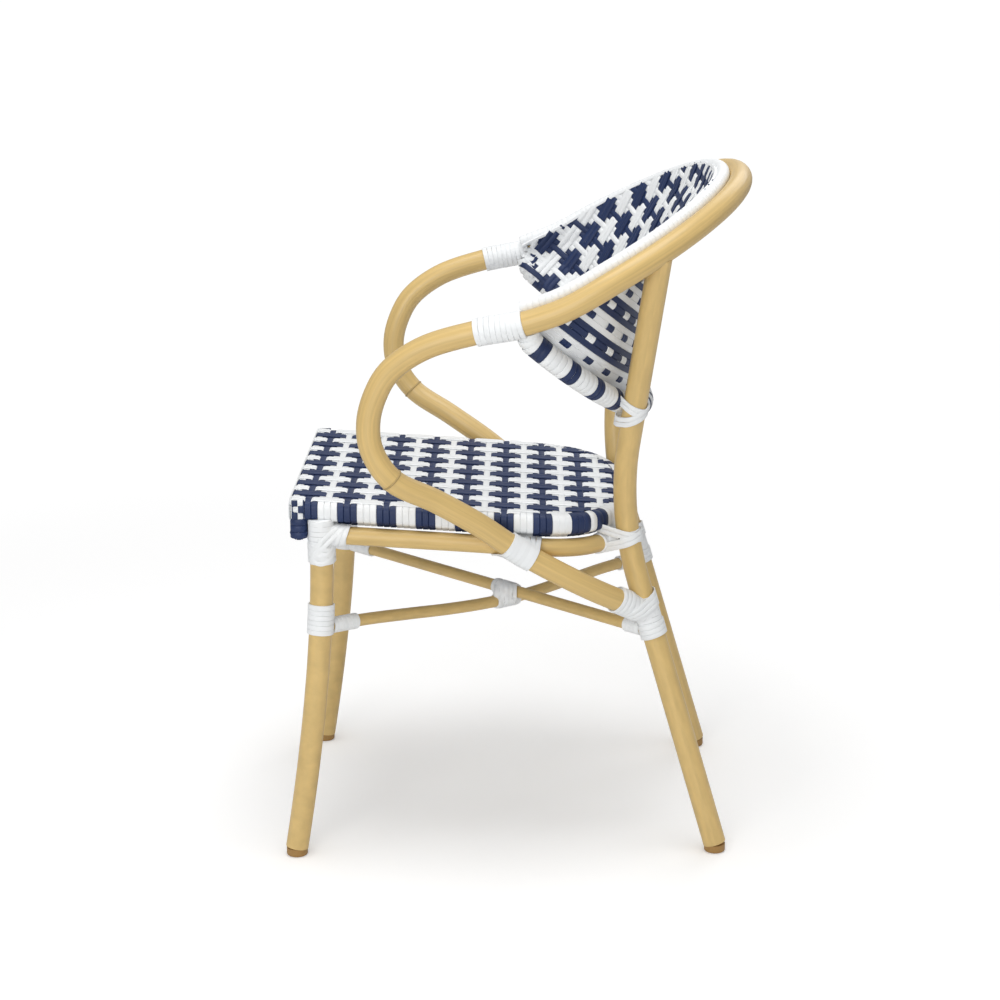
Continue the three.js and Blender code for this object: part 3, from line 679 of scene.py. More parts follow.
class StrandBatch:
    """Flat strands, laid along paths and gathered into one mesh."""

    SOFT = np.array([(-0.5, 0.1), (-0.42, 0.5), (0.42, 0.5), (0.5, 0.1), (0.42, -0.5), (-0.42, -0.5)])
    FLAT = np.array([(-0.5, 0.27), (-0.44, 0.5), (0.44, 0.5), (0.5, 0.27), (0.5, -0.5), (-0.5, -0.5)])

    def __init__(self, seed=1, section=SOFT):
        self.section = section
        self.places = []
        self.faces = []
        self.marks = []
        self.finishes = []
        self.tones = []
        self.count = 0
        self.random = np.random.default_rng(seed)

    def lay(self, middles, outs, width, thickness, finish, closed=False):
        """Lays one strand along its middles, its flat side towards outs."""
        middles = np.asarray(middles, float)
        outs = np.asarray(outs, float)
        if len(middles) < 2:
            return
        if closed:
            way = np.roll(middles, -1, axis=0) - np.roll(middles, 1, axis=0)
        else:
            way = np.gradient(middles, axis=0)
        way = unit(way)
        aside = unit(np.cross(outs, way))
        up = np.cross(way, aside)
        section = self.section
        ring = (
            middles[:, None, :]
            + aside[:, None, :] * section[None, :, 0:1] * width
            + up[:, None, :] * section[None, :, 1:2] * thickness
        )
        rows, sides = len(middles), len(section)
        run = np.concatenate(([0.0], np.cumsum(np.linalg.norm(np.diff(middles, axis=0), axis=1))))
        if closed:
            run = np.append(run, run[-1] + np.linalg.norm(middles[0] - middles[-1]))
        start = self.count
        spans = rows if closed else rows - 1
        row = np.arange(spans)[:, None]
        side = np.arange(sides)[None, :]
        after_row, after_side = (row + 1) % rows, (side + 1) % sides
        here, after = row * sides, after_row * sides
        corners = [here + side, here + after_side, after + after_side, after + side]
        quads = np.stack(corners, axis=-1).reshape(-1, 4) + start
        edge = section[:, 0] + 0.5
        edge_after = np.roll(edge, -1)
        marks = np.empty((spans, sides, 4, 2))
        marks[:, :, 0, 0] = marks[:, :, 3, 0] = edge
        marks[:, :, 1, 0] = marks[:, :, 2, 0] = edge_after
        marks[:, :, 0, 1] = marks[:, :, 1, 1] = run[:spans, None]
        marks[:, :, 2, 1] = marks[:, :, 3, 1] = run[1:spans + 1, None]
        self.places.append(ring.reshape(-1, 3))
        self.faces.extend(quads.tolist())
        self.marks.append(marks.reshape(-1, 2))
        if not closed:
            cap = list(range(sides))
            self.faces.append([start + k for k in cap[::-1]])
            last = start + (rows - 1) * sides
            self.faces.append([last + k for k in cap])
            ends = np.empty((2, sides, 2))
            ends[0, :, 0], ends[0, :, 1] = edge[::-1], 0.0
            ends[1, :, 0], ends[1, :, 1] = edge, run[-1]
            self.marks.append(ends.reshape(-1, 2))
        self.finishes.extend([finish] * (len(quads) + (0 if closed else 2)))
        self.tones.append(np.full(len(middles) * sides, self.random.random()))
        self.count += len(middles) * sides

    def piece(self, name):
        """The gathered strands as one object."""
        mesh = bpy.data.meshes.new(name)
        mesh.from_pydata(np.vstack(self.places).tolist(), [], self.faces)
        chart = mesh.uv_layers.new(name="UVMap")
        chart.data.foreach_set("uv", np.vstack(self.marks).ravel())
        tone = mesh.attributes.new("strand_tone", "FLOAT", "POINT")
        tone.data.foreach_set("value", np.concatenate(self.tones))
        mesh.polygons.foreach_set("material_index", self.finishes)
        mesh.update()
        piece = bpy.data.objects.new(name, mesh)
        bpy.context.scene.collection.objects.link(piece)
        take(piece)
        bpy.ops.object.shade_smooth_by_angle(angle=math.radians(50))
        return piece


# Winding strips round tubes
# A bar closer to the plane of a loop than this sine is left out of it
LEAST_SLOPE = 0.2
WINDING_SLANT = 0.05


def square_to(way):
    """A way square to another one, level where that can be."""
    upright = abs(way[2]) < 0.9
    return unit(np.cross((0.0, 0.0, 1.0) if upright else (0.0, 1.0, 0.0), way))


def bar(route, share, radius, end=False):
    """A tube as a straight bar near one place; an end bar stops there and runs on along the route."""
    way = route.way(share)
    if end and share > 0.5:
        way = -way
    return route.at(share), way, radius, radius if end else 1.0


def around(centre, axis, angles, bars, lift):
    """Points of a taut strip in a plane round some bars, and the ways out from the bars there."""
    first = square_to(axis)
    second = np.cross(axis, first)
    lean = np.outer(np.cos(angles), first) + np.outer(np.sin(angles), second)
    best = np.full(len(angles), -np.inf)
    points = np.tile(centre, (len(angles), 1)).astype(float)
    outs = lean.copy()
    for spot, way, radius, behind in bars:
        slope = float(np.dot(way, axis))
        if abs(slope) < LEAST_SLOPE:
            continue
        step = np.dot(centre - spot, axis) / slope
        if step < -behind:
            continue
        hub = spot + way * step
        small = radius + lift
        big = small / abs(slope)
        flat = way - axis * slope
        spread = np.linalg.norm(flat)
        stretched = flat / spread if spread > 1e-6 else first
        square = np.cross(axis, stretched)
        a, b = lean @ stretched, lean @ square
        support = np.hypot(big * a, small * b)
        reach = lean @ (hub - centre) + support
        bulge = np.outer(big * big * a, stretched) + np.outer(small * small * b, square)
        here = hub + bulge / support[:, None]
        better = reach > best
        offset = here - spot
        radial = offset - np.outer(offset @ way, way)
        points[better] = here[better]
        outs[better] = unit(radial)[better]
        best[better] = reach[better]
    return points, outs


def wind_along(batch, route, radius, start, loops, pitch, thickness, others=()):
    """Turns of a strip side by side along a tube, a little slanted, also hugging other bars."""
    angles = np.linspace(0, 2 * math.pi, 40, endpoint=False)
    for loop in range(loops):
        own = bar(route, start + (loop + 0.5) * pitch / route.length, radius)
        lean = unit(own[1] - square_to(own[1]) * WINDING_SLANT)
        points, outs = around(own[0], lean, angles, [own, *others], thickness / 2)
        batch.lay(points, outs, pitch, thickness, 0, closed=True)


def lash(batch, centre, axis, bars, loops, pitch, strip, lift=0.0):
    """Closed loops side by side round some bars."""
    width, thickness = strip
    axis = unit(axis)
    angles = np.linspace(0, 2 * math.pi, 48, endpoint=False)
    for loop in range(loops):
        middle = centre + axis * (loop - (loops - 1) / 2) * pitch
        points, outs = around(middle, axis, angles, bars, lift + thickness / 2)
        batch.lay(points, outs, width, thickness, 0, closed=True)


def cover(rods, voxel=1.4 * MM):
    """A snug skin over a joint: rods round the tubes, joined, remeshed into one and smoothed."""
    pieces = []
    for start, stop, radius in rods:
        deselect()
        run = Vector(stop) - Vector(start)
        bpy.ops.mesh.primitive_cylinder_add(
            vertices=40, radius=radius, depth=run.length, location=(Vector(start) + Vector(stop)) / 2,
            rotation=run.to_track_quat("Z", "Y").to_euler(),
        )
        pieces.append(bpy.context.object)
    piece = joined(*pieces)
    take(piece)
    bpy.ops.object.transform_apply(location=True, rotation=True, scale=True)
    skin = piece.modifiers.new("skin", "REMESH")
    skin.mode = "VOXEL"
    skin.voxel_size = voxel
    bpy.ops.object.modifier_apply(modifier="skin")
    soft = piece.modifiers.new("soft", "SMOOTH")
    soft.factor = 0.5
    soft.iterations = 5
    bpy.ops.object.modifier_apply(modifier="soft")
    bpy.ops.object.shade_smooth()
    mesh = piece.data
    places = read(mesh.vertices, "co", 3).reshape(-1, 3)
    best = np.full(len(places), np.inf)
    chart = np.full((len(places), 2), 0.5)
    for start, stop, radius in rods:
        start, way = np.asarray(start), np.asarray(stop) - np.asarray(start)
        length = np.linalg.norm(way)
        way = way / length
        along = (places - start) @ way
        aside = places - start - np.outer(along, way)
        off = np.linalg.norm(aside, axis=1)
        far = np.abs(off - radius) + np.maximum(along - length, 0) + np.maximum(-along, 0)
        better = far < best
        best[better] = far[better]
        chart[better, 1] = along[better]
    corners = read(mesh.loops, "vertex_index", kind=np.int32)
    layer = mesh.uv_layers.new(name="UVMap")
    layer.data.foreach_set("uv", chart[corners].ravel())
    mesh.polygons.foreach_set("material_index", [1] * len(mesh.polygons))
    return piece


TACK_RADIUS = 0.9 * MM
TACK_HEIGHT = 0.6 * MM
TACK_EDGE = 0.2 * MM


def tack_heads(places):
    """Small domed tack heads pressed into the strips, as one mesh."""
    heads = []
    for spot, out in places:
        deselect()
        bpy.ops.mesh.primitive_cylinder_add(
            vertices=10, radius=TACK_RADIUS, depth=TACK_HEIGHT, location=spot,
            rotation=Vector(out).to_track_quat("Z", "Y").to_euler(),
        )
        head = bpy.context.object
        bpy.ops.object.mode_set(mode="EDIT")
        bpy.ops.mesh.select_all(action="SELECT")
        bpy.ops.mesh.bevel(offset=TACK_EDGE, segments=2, affect="EDGES")
        bpy.ops.object.mode_set(mode="OBJECT")
        bpy.ops.object.transform_apply(location=True, rotation=True, scale=True)
        bpy.ops.object.shade_smooth_by_angle(angle=math.radians(40))
        head.data.polygons.foreach_set("material_index", [2] * len(head.data.polygons))
        heads.append(head)
    return joined(*heads)


# Woven shells
ROLL_SHOWN = ROLL_RADIUS + 2.2 * MM
ROLL_TIP = np.array([269, 22, 665]) * MM
END_RUN = 9 * MM
# Lifts off the middle of the weave, as shares of its relief
LOW_LIFT = -0.3
RIB_LIFT = 0.8
RIB_RAMP = 4 * MM
# Every third row is a rib, the colours change every third row, and so the pattern comes again after six
PATTERN = 6


def ease(share):
    share = np.clip(share, 0, 1)
    return share * share * (3 - 2 * share)


def dip(distance, pitch):
    """1 in the middle of the strand that a crossing strand dives under, 0 a strand away."""
    return ease(1 - (np.abs(distance) / pitch - 0.15) / 0.75)


def nearest_of(value, first, period):
    """Signed distance to the nearest member of a row of equally spaced places."""
    return (value - first + period / 2) % period - period / 2


def across_lift(spots, row, firsts, period, rib_half, relief):
    """Lift of a strand that runs across. Every third one rises to a rib over the upright pairs."""
    lift = np.full(len(spots), LOW_LIFT * relief)
    if row % 3 == 0:
        near = np.abs(nearest_of(spots, firsts[row % PATTERN // 3], period))
        lift += RIB_LIFT * relief * ease((rib_half - near) / RIB_RAMP)
    return lift


def upright_lift(level, rib_level, row, relief):
    """Lift of an upright strand, which dives under the ribs."""
    return relief - 2 * relief * dip(nearest_of(level, rib_level, PATTERN * row), row)


def roll_look():
    """The back's lower roll with its ends carried on up to the hoop."""
    body = BACK_ROLL.at(np.linspace(0, 1, 161))
    bend = body[0] - BACK_ROLL.way(0.0) * END_RUN
    turn = np.linspace(0, 1, 8, endpoint=False)[:, None]
    front = ROLL_TIP * (1 - turn) ** 2 + bend * 2 * turn * (1 - turn) + body[0] * turn ** 2
    return Route(np.vstack([front, body, flipped(front)[::-1]]))


def edge_look():
    """The edge binding carried on to the arm wraps."""
    body = BINDING.at(np.linspace(0, 1, 201))
    tip = body[0] - BINDING.way(0.0) * END_RUN
    return Route(np.vstack([tip, body, flipped(tip)]))


ROLL_LOOK = roll_look()
EDGE_LOOK = edge_look()


def round_bar(near, radius, reach):
    """A strand that leaves a flat surface at reach from a bar and goes round it: along and out.

    near is the strand's length past the place where it leaves the surface.
    """
    slope = np.arccos(radius / reach)
    run = np.sqrt(reach ** 2 - radius ** 2)
    part = np.clip(near / run, 0, 1)
    turn = slope + np.maximum(near - run, 0) / radius
    along = np.where(near < run, reach - part * (reach - radius * np.cos(slope)), radius * np.cos(turn))
    out = np.where(near < run, part * radius * np.sin(slope), radius * np.sin(turn))
    return along, out


class BackShell:
    """The shell between the lower roll and the edge binding, also laid out flat."""

    ROW = 7.7 * MM
    ROW_START = 22.5 * MM
    FIRST_ROW = -3
    GROUP = 45.3 * MM
    STEP = 7.5 * MM
    RIB_HALF = 11 * MM
    DRAW_IN = 28 * MM
    # Distance of the strands from the middle of the binding and of the roll that they turn round
    RIM = BINDING_RADIUS + 0.9 * MM
    FOLD = ROLL_SHOWN + 0.9 * MM
    # How far off the strands start to turn, in metres and at most as a share of the height
    RIM_REACH = (32 * MM, 0.42)
    FOLD_REACH = (42 * MM, 0.5)
    BAR_SHARE = 0.8
    TOP = -0.3 * MM
    FOOT = -8 * MM
    # Share of the shell left bare at each end, and in the rows round the roll
    CLEAR = 0.018
    FOLD_CLEAR = 0.003
    BEAD_WIDTH = 3.4 * MM
    BORDER_WIDTH = 7.4 * MM
    BORDER_FOOT = 6 * MM
    BORDERS = (0.004, 0.013, 0.022, 0.978, 0.987, 0.996)

    def __init__(self):
        self.shares = np.linspace(0, 1, 801)
        self.low = ROLL_LOOK.at(self.shares)
        self.rule = EDGE_LOOK.at(self.shares) - self.low
        self.height = np.linalg.norm(self.rule, axis=1)
        self.lean = np.einsum("ij,ij->i", self.rule, ROLL_LOOK.way(self.shares)) / self.height
        self.rise = np.sqrt(1 - self.lean ** 2)
        self.start = self.shares * ROLL_LOOK.length

    def read(self, share, rows):
        """Points of a row that goes with the shares, at other shares."""
        return np.stack([np.interp(share, self.shares, rows[:, k]) for k in range(3)], axis=-1)

    def middle(self, share, up):
        """Points of the middle surface, drawn in and turned over the edge binding and round the roll."""
        low, rule = self.read(share, self.low), self.read(share, self.rule)
        height = np.linalg.norm(rule, axis=-1)
        reach = np.minimum(self.RIM_REACH[0], self.RIM_REACH[1] * height)
        rim = np.minimum(self.RIM, self.BAR_SHARE * reach)
        to_edge, edge_out = round_bar(up - height + reach, rim, reach)
        low_reach = np.minimum(self.FOLD_REACH[0], self.FOLD_REACH[1] * height)
        fold = np.minimum(self.FOLD, self.BAR_SHARE * low_reach)
        from_roll, roll_out = round_bar(low_reach - up, fold, low_reach)
        level = np.where(up > height - reach, height - to_edge, np.where(up < low_reach, from_roll, up))
        part = (level / height)[:, None]
        along_roll = ROLL_LOOK.way(share) * ROLL_LOOK.length * (1 - part)
        along_edge = EDGE_LOOK.way(share) * EDGE_LOOK.length * part
        drawn = 4 * self.DRAW_IN * part * (1 - part) * np.sin(math.pi * share)[:, None] ** 2
        out = np.maximum(drawn, 0) + np.where(up > height - reach, edge_out, roll_out)[:, None]
        return low + rule * part + unit(np.cross(rule, along_roll + along_edge)) * out

    def place(self, share, up):
        """Points of the middle surface and their ways to the front, up metres from the roll."""
        spots = self.middle(share, up)
        rise = self.middle(share, up + 0.5 * MM) - spots
        step = np.where(share < 0.5, 0.001, -0.001)
        along = (self.middle(share + step, up) - spots) * np.sign(step)[:, None]
        return spots, unit(np.cross(rise, along))

    def across_strand(self, row, step=3.0 * MM):
        """The strand of one row: its places across the flat layout, shares and heights."""
        up = (self.ROW_START + self.ROW * row) / self.rise
        flat = self.start + up * self.lean
        bare = self.FOLD_CLEAR if row < -2 else self.CLEAR
        good = (up < self.height + self.TOP) & (up > self.FOOT) & (np.abs(self.shares - 0.5) < 0.5 - bare)
        if good.sum() < 4:
            return None
        flat, up, shares = flat[good], up[good], self.shares[good]
        count = max(3, int((flat[-1] - flat[0]) / step))
        spots = np.linspace(flat[0], flat[-1], count)
        return spots, np.interp(spots, flat, shares), np.interp(spots, flat, up)

    def upright_strand(self, spot, step=2.0 * MM):
        """A strand that runs up at one place of the flat layout: its levels, shares and heights."""
        ups = np.arange(self.FOOT, self.height.max() + self.TOP, step)
        lines = (self.start + up * self.lean for up in ups)
        shares = np.array([np.interp(spot, line, self.shares, left=-1, right=2) for line in lines])
        good = np.abs(shares - 0.5) < 0.5 - self.CLEAR
        shares, ups = shares[good], ups[good]
        good = ups < np.interp(shares, self.shares, self.height) + self.TOP
        shares, ups = shares[good], ups[good]
        return ups * np.interp(shares, self.shares, self.rise), shares, ups


def weave_back(settings):
    """The back's strands: rows, upright pairs, a bead along the rim and the borders at both ends."""
    shell = BackShell()
    batch = StrandBatch(seed=3)
    relief, thick = settings.relief, settings.strand_thickness
    middle = ROLL_LOOK.length / 2
    firsts = (middle, middle + shell.GROUP / 2)
    row = shell.FIRST_ROW
    while (strand := shell.across_strand(row)) is not None:
        spots, shares, ups = strand
        points, fronts = shell.place(shares, ups)
        lift = across_lift(spots, row, firsts, shell.GROUP, shell.RIB_HALF, relief)
        colour = NAVY if row % PATTERN in (2, 3, 4) else WHITE
        batch.lay(points + fronts * lift[:, None], fronts, shell.ROW * 0.99, thick, colour)
        row += 1
    groups = int((middle + 60 * MM) / (shell.GROUP / 2))
    for group in range(-groups, groups + 1):
        colour, rib = (NAVY, 0) if group % 2 == 0 else (WHITE, 3)
        for side in (-0.5, 0.5):
            level, shares, ups = shell.upright_strand(middle + group * shell.GROUP / 2 + side * shell.STEP)
            if len(level) < 4:
                continue
            points, fronts = shell.place(shares, ups)
            lift = upright_lift(level, shell.ROW_START + rib * shell.ROW, shell.ROW, relief)
            batch.lay(points + fronts * lift[:, None], fronts, shell.STEP * 0.97, thick, colour)
    shares = np.linspace(0, 1, 300)
    points, fronts = shell.place(shares, np.interp(shares, shell.shares, shell.height) + shell.TOP)
    batch.lay(points, fronts, shell.BEAD_WIDTH, thick * 2.2, WHITE)
    for end in shell.BORDERS:
        ups = np.linspace(shell.BORDER_FOOT, shell.height[0] + shell.TOP, 24)
        points, fronts = shell.place(np.full(len(ups), end), ups)
        batch.lay(points, fronts, shell.BORDER_WIDTH, thick * 2.0, WHITE)
    return batch.piece("back_weave")


def ring_row(batch, route, radius, pitch, thickness, colours):
    """Rings side by side round a route, counted from its middle."""
    middle = route.length / 2
    count = int(middle / pitch)
    angles = np.linspace(0, 2 * math.pi, 24, endpoint=False)
    for ring in range(-count, count + 1):
        own = bar(route, (middle + ring * pitch) / route.length, radius - thickness)
        points, lean = around(own[0], own[1], angles, [own], thickness / 2)
        batch.lay(points, lean, pitch * 0.985, thickness, colours(ring), closed=True)


# The seat: its strands' places from above, their depth under the raked top, and the apron in front
SEAT_ROW = 7.785 * MM
SEAT_ROW_START = -239.4 * MM
SEAT_GROUP = 52.0 * MM
SEAT_STEP = 8.5 * MM
SEAT_RIB_HALF = 12 * MM
SEAT_EDGE = 13 * MM
SEAT_DEPTH = 2.4 * MM
SEAT_OUT = np.array([0.0, math.sin(SEAT_RAKE), math.cos(SEAT_RAKE)])
STRAND_END_GAP = 1 * MM
APRON_ROW = 8.1 * MM
APRON_TOP = SEAT_FRONT_Z - 4.6 * MM
APRON_THICK = 22 * MM
APRON_DEPTH = 52 * MM
APRON_SKIN = 1.3 * MM


def oval_share(part):
    """How far the seat's outline reaches one way, as a share, from its share the other way."""
    return (1 - np.clip(part, 0, 1) ** SEAT_POWER) ** (1 / SEAT_POWER)


def seat_half_width(y, inset=0.0):
    part = (np.asarray(y, float) - SEAT_STRAIGHT_Y) / (SEAT_REAR_Y - inset - SEAT_STRAIGHT_Y)
    return float((SEAT_HALF_WIDTH - inset) * oval_share(part))


def seat_rear(x, inset=0.0):
    part = np.abs(np.asarray(x, float)) / (SEAT_HALF_WIDTH - inset)
    return float(SEAT_STRAIGHT_Y + (SEAT_REAR_Y - inset - SEAT_STRAIGHT_Y) * oval_share(part))


def slope_of(outline, at):
    step = 0.5 * MM
    return (outline(at + step) - outline(at - step)) / (2 * step)


def seat_points(x, y, depth):
    x, y, depth = np.broadcast_arrays(x, y, depth)
    return np.stack([x, y, seat_top(y) - depth], axis=-1)


def seat_row_colour(row):
    return NAVY if row % PATTERN in (5, 0, 1) else WHITE


def over_front_edge(x, colour, relief):
    """A seat strand's way from the seat's top over the front edge and down the apron."""
    rounding, below_top = 6 * MM, 1.2 * MM
    foot, tuck = APRON_TOP - 3.2 * APRON_ROW, APRON_TOP - 2.45 * APRON_ROW
    turn = np.linspace(0, math.pi / 2, 7)
    y = SEAT_FRONT_Y + rounding - np.sin(turn) * rounding
    z = SEAT_FRONT_Z - rounding - below_top + np.cos(turn) * rounding
    outs = np.stack([np.zeros(7), -np.sin(turn), np.cos(turn)], axis=-1)
    points = np.stack([np.full(7, x), y, z], axis=-1)
    down = np.linspace(z[-1], foot, 18)[1:]
    inward = relief * ease((tuck - down) / (0.6 * APRON_ROW)) * 2.6
    if colour == NAVY:
        inward = inward + 2.2 * relief * ease(1 - np.abs(down - APRON_TOP) / APRON_ROW / 0.8)
        dive = ease(turn / (math.pi / 2) * 1.4 - 0.4) * 1.3 * relief
        points = points - outs * dive[:, None]
    front = np.stack([np.full(len(down), x), SEAT_FRONT_Y + inward, down], axis=-1)
    return np.vstack([points, front]), np.vstack([outs, np.tile((0.0, -1.0, 0.0), (len(down), 1))])


def weave_seat(settings):
    """The seat's strands: rows, upright pairs over the front edge, the rim and the apron's top row."""
    batch = StrandBatch(seed=5)
    relief, thick = settings.relief, settings.strand_thickness
    firsts = (SEAT_GROUP / 2, 0.0)
    last = int((SEAT_REAR_Y - SEAT_EDGE - SEAT_ROW_START) / SEAT_ROW)
    for row in range(-2, last + 1):
        y = SEAT_ROW_START + row * SEAT_ROW
        half = seat_half_width(y, SEAT_EDGE) - STRAND_END_GAP
        if half < 12 * MM:
            continue
        x = np.linspace(-half, half, max(4, int(2 * half / (3 * MM))))
        lift = across_lift(x, row, firsts, SEAT_GROUP, SEAT_RIB_HALF, relief)
        middles = seat_points(x, y, SEAT_DEPTH - lift)
        batch.lay(middles, np.tile(SEAT_OUT, (len(x), 1)), SEAT_ROW * 0.99, thick, seat_row_colour(row))
    for group in range(-7, 8):
        colour, rib = (NAVY, 3) if group % 2 == 0 else (WHITE, 0)
        for side in (-0.5, 0.5):
            x = group * SEAT_GROUP / 2 + side * SEAT_STEP
            if abs(x) > SEAT_HALF_WIDTH - SEAT_EDGE + 4 * MM:
                continue
            rear = seat_rear(x, SEAT_EDGE) - STRAND_END_GAP
            y = np.arange(SEAT_FRONT_Y + 8 * MM, rear, 2.0 * MM)[::-1]
            lift = upright_lift(y, SEAT_ROW_START + rib * SEAT_ROW, SEAT_ROW, relief)
            edge, edge_outs = over_front_edge(x, colour, relief)
            middles = np.vstack([seat_points(x, y, SEAT_DEPTH - lift), edge])
            outs = np.vstack([np.tile(SEAT_OUT, (len(y), 1)), edge_outs])
            batch.lay(middles, outs, SEAT_STEP * 0.95, thick, colour)
    wind_rim(batch, thick)
    middles, outs = apron_row(APRON_TOP, 1.0 * MM)
    rear = np.nonzero((outs[:, 1] > 0.5))[0]
    middles, outs = np.roll(middles, -rear[-1] - 1, axis=0), np.roll(outs, -rear[-1] - 1, axis=0)
    kept = outs[:, 1] < 0.5
    batch.lay(middles[kept], outs[kept], APRON_ROW * 0.98, thick, WHITE)
    return batch.piece("seat_weave")


def rim_profile():
    """Inset and depth of a rim strip, and its ways out, from the seat's top round the edge and up inside."""
    rounding, inset = 8.3 * MM, 9 * MM
    upper_depth, lower_depth = 10.4 * MM, 17 * MM
    turn = np.linspace(0, math.pi / 2, 6)
    sine, cosine = rounding * np.sin(turn), rounding * np.cos(turn)
    ends = np.array([(14, 2.1), (11.5, 2.1)]) * MM
    upper = np.stack([inset - sine, upper_depth - cosine], axis=-1)
    lower = np.stack([inset - cosine, lower_depth + sine], axis=-1)
    inner = np.array([(12, 26), (15, 30), (22, 30), (23.6, 27), (23.8, 12)]) * MM
    profile = np.vstack([ends, upper, lower, inner])
    slope = np.gradient(profile, axis=0)
    return profile, -unit(np.stack([slope[:, 1], -slope[:, 0]], axis=-1))


def wind_rim(batch, thick):
    """Strips round the seat's rim: in line with the rows at the sides, at their own pitch at the rear."""
    profile, outs = rim_profile()
    spots = []
    for row in range(int((SEAT_REAR_Y - SEAT_ROW_START) / SEAT_ROW) + 1):
        y = SEAT_ROW_START + row * SEAT_ROW
        half, slope = seat_half_width(y), slope_of(seat_half_width, y)
        if slope < -1:
            break
        width = SEAT_ROW * math.hypot(1, slope)
        for side in (1, -1):
            spots.append(((side * half, y), unit((side, -slope, 0.0)), width, seat_row_colour(row)))
    bound = abs(spots[-1][0][0])
    pitch = SEAT_GROUP / PATTERN
    for column in range(-30, 31):
        x = (column + 0.5) * pitch
        if abs(x) > bound - pitch * 0.4:
            continue
        slope = slope_of(seat_rear, x)
        colour = NAVY if column % PATTERN in (5, 0) else WHITE
        spots.append(((x, seat_rear(x)), unit((-slope, 1.0, 0.0)), pitch * math.hypot(1, slope), colour))
    for spot, way, width, colour in spots:
        flat = np.array(spot) - way[:2] * profile[:, 0:1]
        middles = np.column_stack([flat, seat_top(flat[:, 1]) - profile[:, 1]])
        turned = way * outs[:, 0:1] + np.array([0.0, 0.0, 1.0]) * outs[:, 1:2]
        batch.lay(middles, turned, width * 0.995, thick, colour)


def apron_row(z, inset, steps=7):
    """A closed level loop round the seat's front roll."""
    half = SEAT_HALF_WIDTH - inset
    front, rear = SEAT_FRONT_Y + inset, SEAT_FRONT_Y + APRON_THICK - inset
    radius = (rear - front) / 2 * 0.85
    points, outs = [], []
    for x, y, from_angle in ((half, front, -90), (half, rear, 0), (-half, rear, 90), (-half, front, 180)):
        hub = np.array([x - math.copysign(radius, x), y + (radius if y == front else -radius)])
        for angle in np.radians(np.linspace(from_angle, from_angle + 90, steps)):
            out = np.array([math.cos(angle), math.sin(angle), 0.0])
            points.append((*(hub + out[:2] * radius), z))
            outs.append(out)
        if from_angle == 0:
            last = points[-1]
            for share in np.linspace(0, 1, 50)[1:-1]:
                points.append((last[0] + (radius - half - last[0]) * share, last[1], z))
                outs.append(outs[-1])
    return np.array(points), np.array(outs)


def weave_apron(settings):
    """The roll in front of the seat: level rows, strips round its foot and uprights at its ends."""
    batch = StrandBatch(seed=9)
    relief, thick = settings.relief, settings.strand_thickness
    pair_half = 9.5 * MM
    for row in range(1, 6):
        middles, outs = apron_row(APRON_TOP - row * APRON_ROW, APRON_SKIN)
        if row < 3:
            under = np.abs(nearest_of(middles[:, 0], 0.0, SEAT_GROUP / 2)) < pair_half
            facing = outs[:, 1] < -0.9
            middles = middles - outs * (1.4 * relief * (under & facing))[:, None]
        batch.lay(middles, outs, APRON_ROW * 0.98, thick, WHITE if row < 3 else NAVY, closed=True)
    radius = APRON_THICK / 2 - APRON_SKIN
    hub = np.array([0.0, SEAT_FRONT_Y + APRON_THICK / 2, SEAT_FRONT_Z - APRON_DEPTH + APRON_THICK / 2])
    half = SEAT_HALF_WIDTH - 5 * MM
    strips = 5
    for strip in range(strips):
        angle = math.pi * (strip + 0.5) / strips
        out = np.array([0.0, -math.cos(angle), -math.sin(angle)])
        x = np.linspace(-half, half, 60)
        middles = hub + out * radius + np.outer(x, (1.0, 0, 0))
        batch.lay(middles, np.tile(out, (len(x), 1)), math.pi * radius / strips, thick, NAVY)
    z = np.linspace(APRON_TOP + 0.4 * APRON_ROW, APRON_TOP - 2.9 * APRON_ROW, 24)
    rows = (APRON_TOP - z) / APRON_ROW
    for side in (1, -1):
        for column, crossed_rows in ((0.5, (1,)), (-0.5, (0, 2))):
            y = hub[1] + column * SEAT_ROW
            off = np.min([np.abs(rows - crossed) for crossed in crossed_rows], axis=0)
            x = SEAT_HALF_WIDTH - APRON_SKIN - relief + 2 * relief * ease(1 - (off - 0.3) / 0.35)
            middles = np.stack([side * x, np.full(len(z), y), z], axis=-1)
            batch.lay(middles, np.tile((side, 0.0, 0.0), (len(z), 1)), 7.2 * MM, thick, NAVY)
    return batch.piece("seat_front_roll")


# Settings shown in the sidebar
def seen(red, green, blue):
    """A colour given in parts up to 255."""
    return (red / 255, green / 255, blue / 255)


class TubeSettings(bpy.types.PropertyGroup):
    paint_colour: bpy.props.FloatVectorProperty(
        name="Paint", description="Colour of the painted tubes", subtype="COLOR_GAMMA", size=3,
        min=0, max=1, default=seen(212, 181, 117),
    )
    grain_strength: bpy.props.FloatProperty(
        name="Grain", description="Relief of the lengthwise grain in the paint", default=0.15, min=0, max=1,
    )
    node_ring_share: bpy.props.FloatProperty(
        name="Ring height", default=0.325, min=0, max=1,
        description="Place of the low ring up the arm loop, from the seat rail to the shoulder",
    )
    ring_thickness: bpy.props.FloatProperty(
        name="Ring thickness", description="Half the thickness of the low ring",
        default=1.4 * MM, unit="LENGTH",
    )


